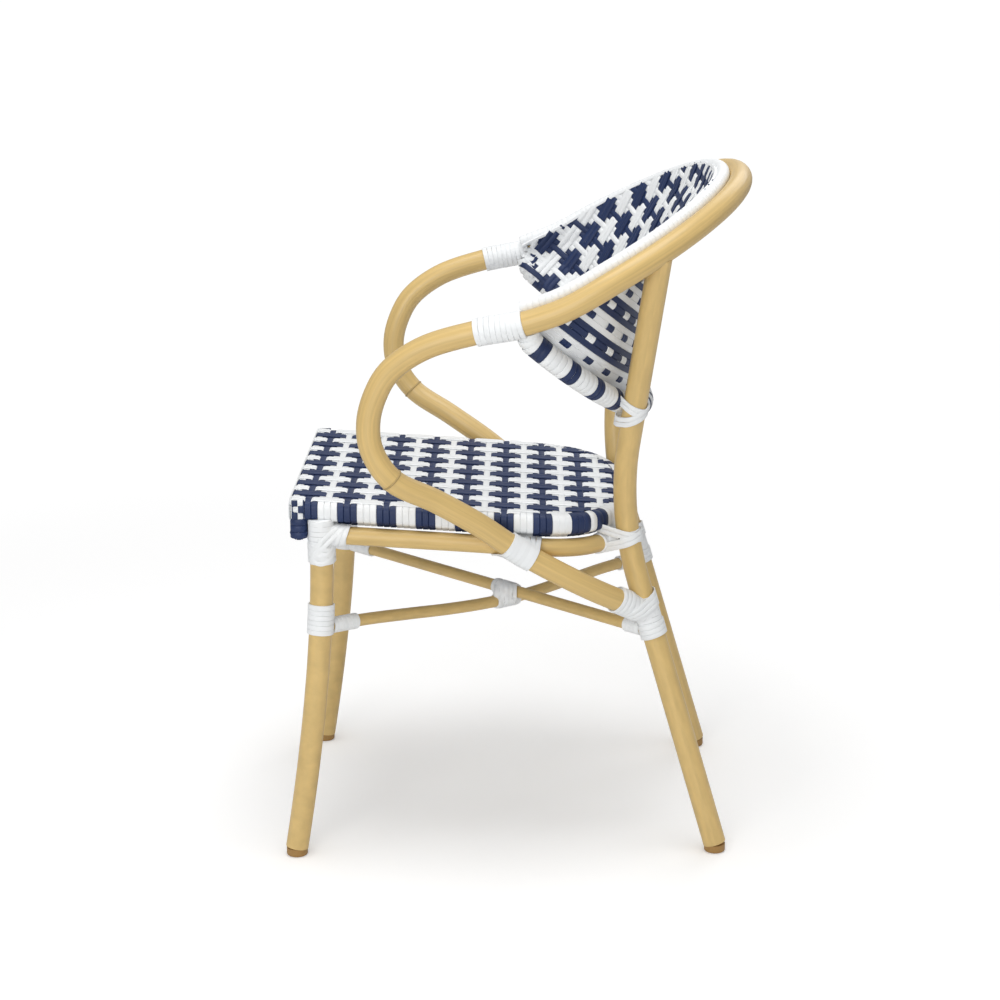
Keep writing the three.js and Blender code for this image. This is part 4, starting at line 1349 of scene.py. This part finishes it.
class StrandSettings(bpy.types.PropertyGroup):
    navy_colour: bpy.props.FloatVectorProperty(
        name="Navy", description="Colour of the navy strands", subtype="COLOR_GAMMA", size=3,
        min=0, max=1, default=seen(21, 42, 84),
    )
    white_colour: bpy.props.FloatVectorProperty(
        name="White", description="Colour of the white strands and strips", subtype="COLOR_GAMMA", size=3,
        min=0, max=1, default=seen(236, 238, 239),
    )
    strand_thickness: bpy.props.FloatProperty(
        name="Strand thickness", description="Thickness of one flat strand", default=1.5 * MM, unit="LENGTH",
    )
    relief: bpy.props.FloatProperty(
        name="Weave relief", description="How far a strand stands off the middle of the weave",
        default=1.25 * MM, unit="LENGTH",
    )


class LashingSettings(bpy.types.PropertyGroup):
    pitch: bpy.props.FloatProperty(
        name="Pitch", description="Distance between loops of a lashing", default=6.0 * MM, unit="LENGTH",
    )
    thickness: bpy.props.FloatProperty(
        name="Strip thickness", description="Thickness of one layer of strip",
        default=1.3 * MM, unit="LENGTH",
    )
    band_thickness: bpy.props.FloatProperty(
        name="Band thickness", description="Thickness of the strip in the counted bands",
        default=2.0 * MM, unit="LENGTH",
    )
    skin: bpy.props.FloatProperty(
        name="Skin", description="Thickness of the snug skin of strip under the loops of a joint",
        default=1.5 * MM, unit="LENGTH",
    )


class GlideSettings(bpy.types.PropertyGroup):
    glide_colour: bpy.props.FloatVectorProperty(
        name="Plastic", description="Colour of the foot glides", subtype="COLOR_GAMMA", size=3,
        min=0, max=1, default=seen(164, 126, 70),
    )
    radius: bpy.props.FloatProperty(
        name="Radius", description="Radius of a glide", default=13 * MM, unit="LENGTH",
    )
    height: bpy.props.FloatProperty(
        name="Height", description="Height of a glide below the tube", default=10 * MM, unit="LENGTH",
    )
    chamfer: bpy.props.FloatProperty(
        name="Chamfer", description="Chamfer of a glide's lower edge", default=2.5 * MM, unit="LENGTH",
    )


class StageSettings(bpy.types.PropertyGroup):
    floor_shade: bpy.props.FloatProperty(
        name="Floor", description="Brightness of the floor as the camera sees it",
        default=0.96, min=0, max=1,
    )
    floor_glow: bpy.props.FloatProperty(
        name="Floor glow", description="Brightness that the floor has of its own near the chair",
        default=0.16, min=0, max=1,
    )
    sky_light: bpy.props.FloatProperty(
        name="Sky light", description="Even light from all round", default=0.45, min=0,
    )
    key_power: bpy.props.FloatProperty(
        name="Overhead lamp", description="Power of the large soft lamp above the chair",
        default=38.5, min=0, unit="POWER",
    )
    lens: bpy.props.FloatProperty(
        name="Lens", description="Focal length that matches the photograph",
        default=82.48, min=1,
    )


class ChairSettings(bpy.types.PropertyGroup):
    tubes: bpy.props.PointerProperty(type=TubeSettings)
    strands: bpy.props.PointerProperty(type=StrandSettings)
    lashings: bpy.props.PointerProperty(type=LashingSettings)
    glides: bpy.props.PointerProperty(type=GlideSettings)
    stage: bpy.props.PointerProperty(type=StageSettings)


SIDES = ((1, "left"), (-1, "right"))
REARWARD = np.array([0.0, 1.0, 0.0])
# Material slots of the record
TUBE, STRIP, GLIDE = "bamboo_tube", "white_strip", "glide"
NAVY_WEAVE, WHITE_WEAVE = "woven_navy", "woven_white"
# Finishes, and the sets of them that pieces carry
PAINT, RING_FINISH = "tan_tube_paint", "tan_ring_line"
WHITE_FINISH, NAVY_FINISH, SMOOTH_WHITE = "white_strand", "navy_strand", "white_binding"
SKIN_FINISH, TACK_FINISH, GLIDE_FINISH = "white_wrapping", "tack_steel", "glide_plastic"
WOVEN = (NAVY_FINISH, WHITE_FINISH)
LASHED = (WHITE_FINISH, SKIN_FINISH, TACK_FINISH)


def sided(side, share):
    """A share of a mirrored route, counted from the left end or from the right one."""
    return share if side > 0 else 1 - share


class CHAIR_OT_finishes(bpy.types.Operator):
    """Make the paint, strand, glide and tack finishes"""
    bl_idname = "chair.finishes"
    bl_label = "Finishes"

    def execute(self, context):
        chair = context.scene.bistro_chair
        tube_paint(PAINT, chair.tubes)
        strands = chair.strands
        for name, colour, roughness, ribs, tone_spread, rib_depth in (
            (NAVY_FINISH, strands.navy_colour, 0.46, 4, 0.16, 0.35),
            (WHITE_FINISH, strands.white_colour, 0.42, 4, 0.035, 0.35),
            (SMOOTH_WHITE, strands.white_colour, 0.46, 2, 0.02, 0.15),
        ):
            strand_finish(name, colour, roughness, ribs, tone_spread, rib_depth)
        wrapping_finish(SKIN_FINISH, strands.white_colour, chair.lashings.pitch)
        ring_finish(RING_FINISH, chair.tubes.paint_colour)
        glide_finish(GLIDE_FINISH, chair.glides)
        tack_finish(TACK_FINISH)
        return {"FINISHED"}


class CHAIR_OT_hoop(bpy.types.Operator):
    """Bend the arm and back hoop with its low rings"""
    bl_idname = "chair.hoop"
    bl_label = "Arm and back hoop"

    def execute(self, context):
        settings = context.scene.bistro_chair.tubes
        hoop = painted(bent_tube(HOOP, MAIN_RADIUS, step=0.006, round_steps=10), (PAINT, RING_FINISH))
        low, high = rail_height(RAIL_CROSSING_Y), hoop_height(HOOP_SHOULDER_Y)
        share = HOOP.share_at(2, low + settings.node_ring_share * (high - low), CROSSING, LOOP_FRONT)
        ring_radius = MAIN_RADIUS - 0.4 * MM
        rings = [ring_on(HOOP, spot, ring_radius, settings.ring_thickness) for spot in (share, 1 - share)]
        for ring in rings:
            painted(ring, (PAINT, RING_FINISH), 1)
        finished(joined(hoop, *rings), "arm_back_hoop", (PAINT, RING_FINISH))
        return {"FINISHED"}


class CHAIR_OT_legs(bpy.types.Operator):
    """Bend the four legs"""
    bl_idname = "chair.legs"
    bl_label = "Legs"

    def execute(self, context):
        foot = context.scene.bistro_chair.glides.height + FIT_GAP
        for side, name in SIDES:
            rear = REAR_LEGS[side]
            leg = bent_tube(rear, MAIN_RADIUS, rear.share_at(2, foot), 1.0)
            finished(leg, f"rear_leg_{name}", (PAINT,))
            front = FRONT_LEGS[side]
            top = front.share_at(2, seat_top(LEG_TOP_Y) - SEAT_THICK - FIT_GAP)
            leg = bent_tube(front, MAIN_RADIUS, front.share_at(2, foot), top)
            finished(leg, f"front_leg_{name}", (PAINT,))
        return {"FINISHED"}


class CHAIR_OT_rails(bpy.types.Operator):
    """Bend the seat ring, the cross rail and the two crossed stretchers"""
    bl_idname = "chair.rails"
    bl_label = "Rails and stretchers"

    def execute(self, context):
        for name, route, radius in (
            ("seat_ring", SEAT_RING, RAIL_RADIUS),
            ("front_cross_rail", CROSS_RAIL, RAIL_RADIUS),
            ("stretcher_low", STRETCHER_LOW, STRETCHER_RADIUS),
            ("stretcher_high", STRETCHER_HIGH, STRETCHER_RADIUS),
        ):
            finished(bent_tube(route, radius), name, (PAINT,))
        return {"FINISHED"}


def pick(piece, test):
    """Selects the faces whose way out passes a test, in edit mode."""
    shape = bmesh.from_edit_mesh(piece.data)
    for face in shape.faces:
        face.select_set(test(face.normal))
    bmesh.update_edit_mesh(piece.data)


class CHAIR_OT_glides(bpy.types.Operator):
    """Turn the four foot glides with their stems"""
    bl_idname = "chair.glides"
    bl_label = "Foot glides"

    EDGE_BAND = 1.2 * MM
    STEM_RADIUS = 7 * MM
    STEM_HEIGHT = 14 * MM
    STEM_CHAMFER = 2.5 * MM

    def execute(self, context):
        settings = context.scene.bistro_chair.glides
        deselect()
        bpy.ops.mesh.primitive_cylinder_add(
            vertices=48, radius=settings.radius, depth=settings.height, location=(0, 0, settings.height / 2),
        )
        first = context.object
        bpy.ops.object.transform_apply(location=True, rotation=False, scale=False)
        bpy.ops.object.mode_set(mode="EDIT")
        pick(first, lambda way: way.z < -0.9)
        bpy.ops.mesh.bevel(offset=settings.chamfer, segments=3, profile=0.5)
        pick(first, lambda way: way.z > 0.9)
        bpy.ops.mesh.inset(thickness=self.EDGE_BAND, depth=0)
        bpy.ops.mesh.inset(thickness=settings.radius - self.EDGE_BAND - self.STEM_RADIUS, depth=0)
        bpy.ops.mesh.extrude_region_move(TRANSFORM_OT_translate={"value": (0, 0, self.STEM_HEIGHT)})
        bpy.ops.mesh.bevel(offset=self.STEM_CHAMFER, segments=2)
        bpy.ops.mesh.select_all(action="SELECT")
        bpy.ops.mesh.normals_make_consistent(inside=False)
        bpy.ops.object.mode_set(mode="OBJECT")
        bpy.ops.object.shade_smooth_by_angle(angle=math.radians(35))
        for place, legs in (("rear", REAR_LEGS), ("front", FRONT_LEGS)):
            for side, name in SIDES:
                spot = at_height(legs[side], settings.height)
                take(first)
                bpy.ops.object.duplicate(linked=False)
                glide = context.object
                bpy.ops.transform.translate(value=(spot[0], spot[1], 0))
                finished(glide, f"{place}_glide_{name}", (GLIDE_FINISH,))
        bpy.data.objects.remove(first)
        return {"FINISHED"}


def roll_colour(ring):
    return NAVY if ring % PATTERN in (2, 3) else WHITE


class CHAIR_OT_back(bpy.types.Operator):
    """Weave the back shell and wind its edge binding and lower roll"""
    bl_idname = "chair.back"
    bl_label = "Woven back"

    ROLL_STRIP = (7.45 * MM, 1.3 * MM)
    BINDING_STRIP = (7.5 * MM, 0.8 * MM)

    def execute(self, context):
        settings = context.scene.bistro_chair.strands
        finished(weave_back(settings), "back_weave", WOVEN)
        self.wound_bar("back_roll", ROLL_LOOK, ROLL_SHOWN, self.ROLL_STRIP, roll_colour, WOVEN, WHITE_WEAVE)
        self.wound_bar(
            "back_edge_binding", EDGE_LOOK, BINDING_RADIUS, self.BINDING_STRIP, lambda ring: 0,
            (SMOOTH_WHITE,), STRIP,
        )
        return {"FINISHED"}

    def wound_bar(self, name, route, radius, strip, colours, finishes, slot):
        """A core with a flat strip wound round it."""
        pitch, depth = strip
        rings = StrandBatch(seed=11, section=StrandBatch.FLAT)
        ring_row(rings, route, radius, pitch, depth, colours)
        wound = painted(rings.piece(name), finishes)
        core = painted(bent_tube(route, radius - depth * 0.8), finishes, len(finishes) - 1)
        finished(joined(wound, core), name, finishes)


class CHAIR_OT_seat(bpy.types.Operator):
    """Weave the seat with its wound rim and its front roll"""
    bl_idname = "chair.seat"
    bl_label = "Woven seat"

    def execute(self, context):
        settings = context.scene.bistro_chair.strands
        finished(weave_seat(settings), "seat_weave", WOVEN)
        finished(weave_apron(settings), "seat_front_roll", WOVEN)
        return {"FINISHED"}


class CHAIR_OT_bands(bpy.types.Operator):
    """Wind the counted bands on the arms, the rail crossings and the front legs"""
    bl_idname = "chair.bands"
    bl_label = "Wound bands"

    # Middle of the leg band over the height at which the stretchers meet the legs
    LEG_BAND_RISE = 11 * MM

    def execute(self, context):
        thick = context.scene.bistro_chair.lashings.band_thickness
        rail_share = SEAT_RING.share_at(1, RAIL_CROSSING_Y, 0, 0.5)
        rail_back = RAIL_WRAP_LOOPS / 2 * STRIP_PITCH
        band_back = LEG_BAND_LOOPS / 2 * STRIP_PITCH
        for side, name in SIDES:
            rail = bar(SEAT_RING, sided(side, rail_share), RAIL_RADIUS)
            leg = FRONT_LEGS[side]
            band_share = leg.share_at(2, STRETCHER_FRONT_Z) + (self.LEG_BAND_RISE - band_back) / leg.length
            arm_share = ARM_WRAP_FROM if side > 0 else 1 - ARM_WRAP_TO
            rail_start = sided(side, CROSSING) - rail_back / HOOP.length
            for node, route, start, loops, others in (
                ("arm_wrap", HOOP, arm_share, ARM_WRAP_LOOPS, ()),
                ("rail_wrap", HOOP, rail_start, RAIL_WRAP_LOOPS, (rail,)),
                ("front_leg_band", leg, band_share, LEG_BAND_LOOPS, ()),
            ):
                batch = StrandBatch(section=StrandBatch.FLAT)
                wind_along(batch, route, MAIN_RADIUS + FIT_GAP, start, loops, STRIP_PITCH, thick, others)
                finished(batch.piece("band"), f"{node}_{name}", (WHITE_FINISH,))
        return {"FINISHED"}


class Lashing:
    """Loops of strip over a snug skin, with the tacks that hold the strip's ends."""

    def __init__(self, side, settings):
        self.side = side
        self.pitch = settings.pitch
        self.strip = (settings.pitch * 0.97, settings.thickness)
        self.skin = settings.skin
        self.batch = StrandBatch(seed=20, section=StrandBatch.FLAT)
        self.rods = []
        self.tacks = []

    def rod(self, spot, way, radius, start, stop):
        """Covers a tube with the skin from start to stop along its way."""
        self.rods.append((spot + way * start, spot + way * stop, radius + self.skin))

    def link(self, start, stop, radius):
        """Covers the space between two tubes with the skin."""
        self.rod(start, unit(stop - start), radius, 0.0, np.linalg.norm(stop - start))

    def ties(self, middle, normal, bars, loops, lift=0.0):
        """Loops side by side over the skin, square to the normal."""
        raised = [(spot, way, radius + self.skin, behind) for spot, way, radius, behind in bars]
        lash(self.batch, middle, normal, raised, loops, self.pitch, self.strip, lift)

    def crossed(self, middle, way, slants, bars, loops):
        """Sets of loops round the same bars, each set leaning rearward by its own slant."""
        for turn, slant in enumerate(slants):
            self.ties(middle, way + REARWARD * slant, bars, loops, turn * self.strip[1] * 0.6)

    def tack(self, spot, out, radius):
        """A tack that holds a strip's end on the side of a tube."""
        out = unit(out)
        self.tacks.append((spot + out * (radius + self.skin + self.strip[1]), out))

    def piece(self, name):
        """The whole lashing as one object."""
        parts = [self.batch.piece(name)]
        if self.rods:
            parts.append(cover(self.rods))
        if self.tacks:
            parts.append(tack_heads(self.tacks))
        return joined(*(painted(part, LASHED) for part in parts))


def seat_corner(tie):
    """Leg and both rails meet: loops on each, and loops slung over the two elbows."""
    leg_ties, rail_ties, elbow_ties = 21 * MM, 25 * MM, 6 * MM
    leg = FRONT_LEGS[tie.side]
    height = rail_height(LEG_TOP_Y)
    spot = at_height(leg, height)
    down = -leg.way(leg.share_at(2, height))
    post = (spot, down, MAIN_RADIUS, MAIN_RADIUS)
    tie.rod(spot, down, MAIN_RADIUS, -19 * MM, 36 * MM)
    tie.ties(spot + down * leg_ties, down - REARWARD * 0.2, [post], 3)
    for route, slant in ((SEAT_RING, 0.3), (CROSS_RAIL, 0.0)):
        rail = bar(route, sided(tie.side, 0.0), RAIL_RADIUS, end=True)
        way = rail[1]
        tie.rod(spot, way, RAIL_RADIUS, 0.0, 31 * MM)
        tie.ties(spot + way * rail_ties, way + down * slant, [rail], 2)
        tie.ties(spot + (way + down) * elbow_ties, way + down, [post, rail], 2)
    tie.tack(spot + down * 8 * MM, (tie.side * 0.7, -0.7, 0), MAIN_RADIUS)
    tie.tack(spot + down * 3 * MM, (tie.side, -0.15, 0), MAIN_RADIUS)


def ring_to_leg(tie):
    """The seat ring runs past the rear leg: loops slung round both, leaning two ways."""
    rise, beside_rise, ties_back = 13 * MM, 4 * MM, 10 * MM
    leg = REAR_LEGS[tie.side]
    ring = bar(SEAT_RING, sided(tie.side, nearest_leg_share(SEAT_RING)), RAIL_RADIUS)
    post = bar(leg, leg.share_at(2, ring[0][2]), MAIN_RADIUS)
    middle = post[0] + post[1] * rise
    # Stands in for the ring where the loops pass it, in line with the leg
    beside = (ring[0] + post[1] * beside_rise, post[1], RAIL_RADIUS, 1.0)
    tie.rod(ring[0], ring[1], RAIL_RADIUS, -16 * MM, 16 * MM)
    tie.rod(middle, post[1], MAIN_RADIUS, -9 * MM, 7 * MM)
    tie.link(ring[0], middle, RAIL_RADIUS - 2 * MM)
    tie.crossed(middle + REARWARD * ties_back, post[1], (0.34, -0.25), [beside, post], 2)
    tie.tack(middle - post[1] * 2 * MM, (tie.side * 0.75, -0.66, 0), MAIN_RADIUS + tie.strip[1])


def rear_joint(tie):
    """Leg and hoop's end meet above the stretcher: loops on each and slung over the elbow."""
    leg_ties, hoop_ties, elbow_ties = 20 * MM, 41 * MM, 7 * MM
    leg = REAR_LEGS[tie.side]
    post = bar(leg, leg.share_at(2, LOWER_JOINT_Z), MAIN_RADIUS)
    hoop = bar(HOOP, sided(tie.side, 0.0), MAIN_RADIUS, end=True)
    spot, down, out = post[0], -post[1], hoop[1]
    tie.rod(spot, down, MAIN_RADIUS, -21 * MM, 26 * MM)
    tie.rod(spot, out, MAIN_RADIUS, 0.0, 50 * MM)
    tie.ties(spot + down * leg_ties, down - out * 0.12, [post], 3)
    tie.ties(spot + out * hoop_ties, out - down * 0.1, [hoop], 3)
    tie.ties(spot + (out - down) * elbow_ties, out * 0.6 - down, [post, hoop], 3)
    for along in (2, 8, 14):
        tie.tack(spot + down * along * MM, (tie.side, 0.15, 0), MAIN_RADIUS)


def roll_lashing(tie):
    """The back roll crosses the rear leg: two sets of loops and the tube showing between them."""
    ties_down, ties_back, beside_share, beside_radius = 10 * MM, 12 * MM, 0.3, 11 * MM
    leg = REAR_LEGS[tie.side]
    roll = BACK_ROLL.at(sided(tie.side, nearest_leg_share(BACK_ROLL)))
    post = bar(leg, leg.share_at(2, roll[2]), MAIN_RADIUS - tie.skin + FIT_GAP)
    # Stands in for the roll where the loops pass it, in line with the leg
    beside = (post[0] + (roll - post[0]) * beside_share, post[1], beside_radius, 1.0)
    spot = post[0] - post[1] * ties_down + REARWARD * ties_back
    tie.crossed(spot, post[1], (0.35, -0.55), [beside, post], 2)


def nearest_leg_share(route):
    """Share of a route's first half where it comes nearest to the left rear leg."""
    shares = np.arange(200) / 400
    spots = route.at(shares)
    gaps = [np.linalg.norm(spot - at_height(REAR_LEGS[1], spot[2])) for spot in spots]
    return shares[int(np.argmin(gaps))]


def stretcher_crossing(tie):
    """The two stretchers cross: loops round both, over a skin that fills the space between them."""
    low, high = (bar(rod, rod.share_at(0, 0), STRETCHER_RADIUS) for rod in (STRETCHER_LOW, STRETCHER_HIGH))
    for rod in (low, high):
        tie.rod(rod[0], rod[1], STRETCHER_RADIUS + 1 * MM, -14 * MM, 24 * MM)
    tie.link(low[0], high[0], STRETCHER_RADIUS)
    middle = (low[0] + high[0]) / 2
    tie.rod(middle - REARWARD * 12 * MM, REARWARD, 12 * MM, 0.0, 28 * MM)
    tie.ties(middle + REARWARD * 6 * MM, REARWARD, [low, high], 4)
    for side in (1, -1):
        for along in (0, 8):
            tie.tack(low[0] + low[1] * along * MM, (side, 0, 0.1), STRETCHER_RADIUS + tie.strip[1])


JOINTS = (
    ("front_corner_wrap", seat_corner), ("seat_rear_wrap", ring_to_leg),
    ("rear_joint_wrap", rear_joint), ("back_lashing", roll_lashing),
)


class CHAIR_OT_lashings(bpy.types.Operator):
    """Lash the joints of the frame"""
    bl_idname = "chair.lashings"
    bl_label = "Lashed joints"

    def execute(self, context):
        settings = context.scene.bistro_chair.lashings
        wraps = [(f"{joint}_{name}", side, work) for side, name in SIDES for joint, work in JOINTS]
        for name, side, work in (*wraps, ("crossing_wrap", 1, stretcher_crossing)):
            tie = Lashing(side, settings)
            work(tie)
            finished(tie.piece(name), name, LASHED)
        return {"FINISHED"}


class CHAIR_OT_sleeves(bpy.types.Operator):
    """Wind the sleeves at the ends of the stretchers"""
    bl_idname = "chair.sleeves"
    bl_label = "Stretcher sleeves"

    # Run of a stretcher inside a leg, and the sleeves' reach from the leg's middle
    BARE = 16.5 * MM
    FRONT_REACH = 53 * MM
    REAR_REACH = 40 * MM

    def execute(self, context):
        thick = context.scene.bistro_chair.lashings.band_thickness
        for name, route, at_end, reach in (
            ("front_stretcher_sleeve_left", STRETCHER_LOW, False, self.FRONT_REACH),
            ("front_stretcher_sleeve_right", STRETCHER_HIGH, False, self.FRONT_REACH),
            ("rear_stretcher_sleeve_left", STRETCHER_HIGH, True, self.REAR_REACH),
            ("rear_stretcher_sleeve_right", STRETCHER_LOW, True, self.REAR_REACH),
        ):
            loops = int(round((reach - self.BARE) / STRIP_PITCH))
            far = (self.BARE + loops * STRIP_PITCH) / route.length
            start = 1 - far if at_end else self.BARE / route.length
            batch = StrandBatch(section=StrandBatch.FLAT)
            wind_along(batch, route, STRETCHER_RADIUS + FIT_GAP, start, loops, STRIP_PITCH, thick)
            finished(batch.piece("sleeve"), name, (WHITE_FINISH,))
        return {"FINISHED"}


class CHAIR_OT_stage(bpy.types.Operator):
    """Set up the pale floor, the soft light and the camera of the photograph"""
    bl_idname = "chair.stage"
    bl_label = "Studio"

    FLOOR_SIZE = 60
    # The floor turns to plain white from the first distance to the second
    FADE = (0.7, 2.2)
    # Share of the floor's brightness that it throws back as light
    BOUNCE = 0.85
    # Name, place, size and share of the overhead lamp's power
    LAMPS = (
        ("overhead_lamp", (0.35, 0.0, 3.0), 2.0, 1.0),
        ("side_lamp", (2.8, -0.7, 1.25), 2.0, 0.85),
        ("far_lamp", (-2.2, 1.0, 2.2), 1.8, 0.3),
    )
    LAMP_AIM = Vector((0, 0, 0.4))
    CAMERA_PLACE = (2.8278, 0.0094, 1.1322)
    CAMERA_TILT = math.radians(14.53)
    CAMERA_TURN = math.radians(0.65)
    SENSOR = 36

    def execute(self, context):
        settings = context.scene.bistro_chair.stage
        floor = self.lay_floor(context, settings)
        self.light_air(context, settings)
        lamps = [
            self.hang_lamp(context, name, spot, size, settings.key_power * part)
            for name, spot, size, part in self.LAMPS
        ]
        camera = self.set_camera(context, settings)
        context.scene.view_settings.view_transform = "Standard"
        return {"FINISHED"}

    def lay_floor(self, context, settings):
        """A pale floor that keeps the shadow and runs out into the white background."""
        deselect()
        bpy.ops.mesh.primitive_plane_add(size=self.FLOOR_SIZE, location=(0, 0, 0))
        floor = context.object
        floor.name = "studio_floor"
        finish = Finish("studio_floor")
        camera_ray = finish.node("ShaderNodeLightPath", {}, (), "Is Camera Ray")
        place = finish.node("ShaderNodeTexCoord", {}, (), "Object")
        far = finish.node("ShaderNodeVectorMath", {"operation": "LENGTH"}, (place,), "Value")
        smooth_step = {"interpolation_type": "SMOOTHSTEP"}
        fade = finish.node("ShaderNodeMapRange", smooth_step, (far, *self.FADE, 0.0, 1.0))
        seen_far = camera_ray * fade
        black = shaded((1, 1, 1), 0)
        white = shaded((1, 1, 1), 1)
        dim = shaded((settings.floor_shade,) * 3, self.BOUNCE)
        lit = finish.blend(camera_ray, dim, shaded((settings.floor_shade,) * 3, 1))
        glow = finish.blend(camera_ray, black, shaded((settings.floor_glow,) * 3, 1))
        finish.set(
            Base_Color=finish.blend(seen_far, lit, black),
            Roughness=0.85 + finish.grit(180.0, 2.0) * 0.1,
            Emission_Color=finish.blend(seen_far, glow, white),
            Emission_Strength=1.0,
        )
        floor.data.materials.append(finish.material)
        return floor

    def light_air(self, context, settings):
        """Even light from all round, seen by the camera as plain white."""
        world = bpy.data.worlds.new("studio_air")
        world.use_nodes = True
        context.scene.world = world
        air = world.node_tree
        backdrop = air.nodes["Background"]
        backdrop.inputs[0].default_value = (1, 1, 1, 1)
        ray = air.nodes.new("ShaderNodeLightPath")
        level = air.nodes.new("ShaderNodeMapRange")
        level.inputs[3].default_value = settings.sky_light
        level.inputs[4].default_value = 1.0
        air.links.new(ray.outputs["Is Camera Ray"], level.inputs[0])
        air.links.new(level.outputs[0], backdrop.inputs[1])

    def hang_lamp(self, context, name, spot, size, power):
        """A large soft lamp that faces the chair."""
        way = (self.LAMP_AIM - Vector(spot)).to_track_quat("-Z", "Y").to_euler()
        bpy.ops.object.light_add(type="AREA", location=spot, rotation=way)
        lamp = context.object
        lamp.name = name
        lamp.data.name = name
        lamp.data.shape = "DISK"
        lamp.data.size = size
        lamp.data.energy = power
        return lamp

    def set_camera(self, context, settings):
        """The camera where the photograph was taken from."""
        tilt, turn = self.CAMERA_TILT, self.CAMERA_TURN
        level = math.cos(tilt)
        ahead = Vector((-math.cos(turn) * level, -math.sin(turn) * level, -math.sin(tilt)))
        way = ahead.to_track_quat("-Z", "Y").to_euler()
        bpy.ops.object.camera_add(location=self.CAMERA_PLACE, rotation=way)
        camera = context.object
        camera.name = "photo_camera"
        camera.data.lens = settings.lens
        camera.data.sensor_width = self.SENSOR
        context.scene.camera = camera
        return camera


STEPS = (
    CHAIR_OT_finishes, CHAIR_OT_hoop, CHAIR_OT_legs, CHAIR_OT_rails, CHAIR_OT_glides, CHAIR_OT_back,
    CHAIR_OT_seat, CHAIR_OT_bands, CHAIR_OT_lashings, CHAIR_OT_sleeves, CHAIR_OT_stage,
)


class CHAIR_PT_panel(bpy.types.Panel):
    """Settings of the chair and a button for each step"""
    bl_idname = "CHAIR_PT_panel"
    bl_label = "Woven bistro armchair"
    bl_space_type = "VIEW_3D"
    bl_region_type = "UI"
    bl_category = "Bistro Chair"

    def draw(self, context):
        chair = context.scene.bistro_chair
        for group in ("tubes", "strands", "lashings", "glides", "stage"):
            box = self.layout.box()
            settings = getattr(chair, group)
            for key in settings.bl_rna.properties.keys():
                if key not in ("rna_type", "name"):
                    box.prop(settings, key)
        for step in STEPS:
            self.layout.operator(step.bl_idname)


CLASSES = (
    TubeSettings, StrandSettings, LashingSettings, GlideSettings, StageSettings, ChairSettings,
    *STEPS, CHAIR_PT_panel,
)


def register():
    for kind in CLASSES:
        bpy.utils.register_class(kind)
    bpy.types.Scene.bistro_chair = bpy.props.PointerProperty(type=ChairSettings)


def unregister():
    del bpy.types.Scene.bistro_chair
    for kind in reversed(CLASSES):
        bpy.utils.unregister_class(kind)


def main():
    register()
    for step in STEPS:
        family, name = step.bl_idname.split(".")
        result = getattr(getattr(bpy.ops, family), name)()
        if result != {"FINISHED"}:
            raise RuntimeError(f"{step.bl_label} didn't finish")
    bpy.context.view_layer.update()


if __name__ == "__main__":
    main()
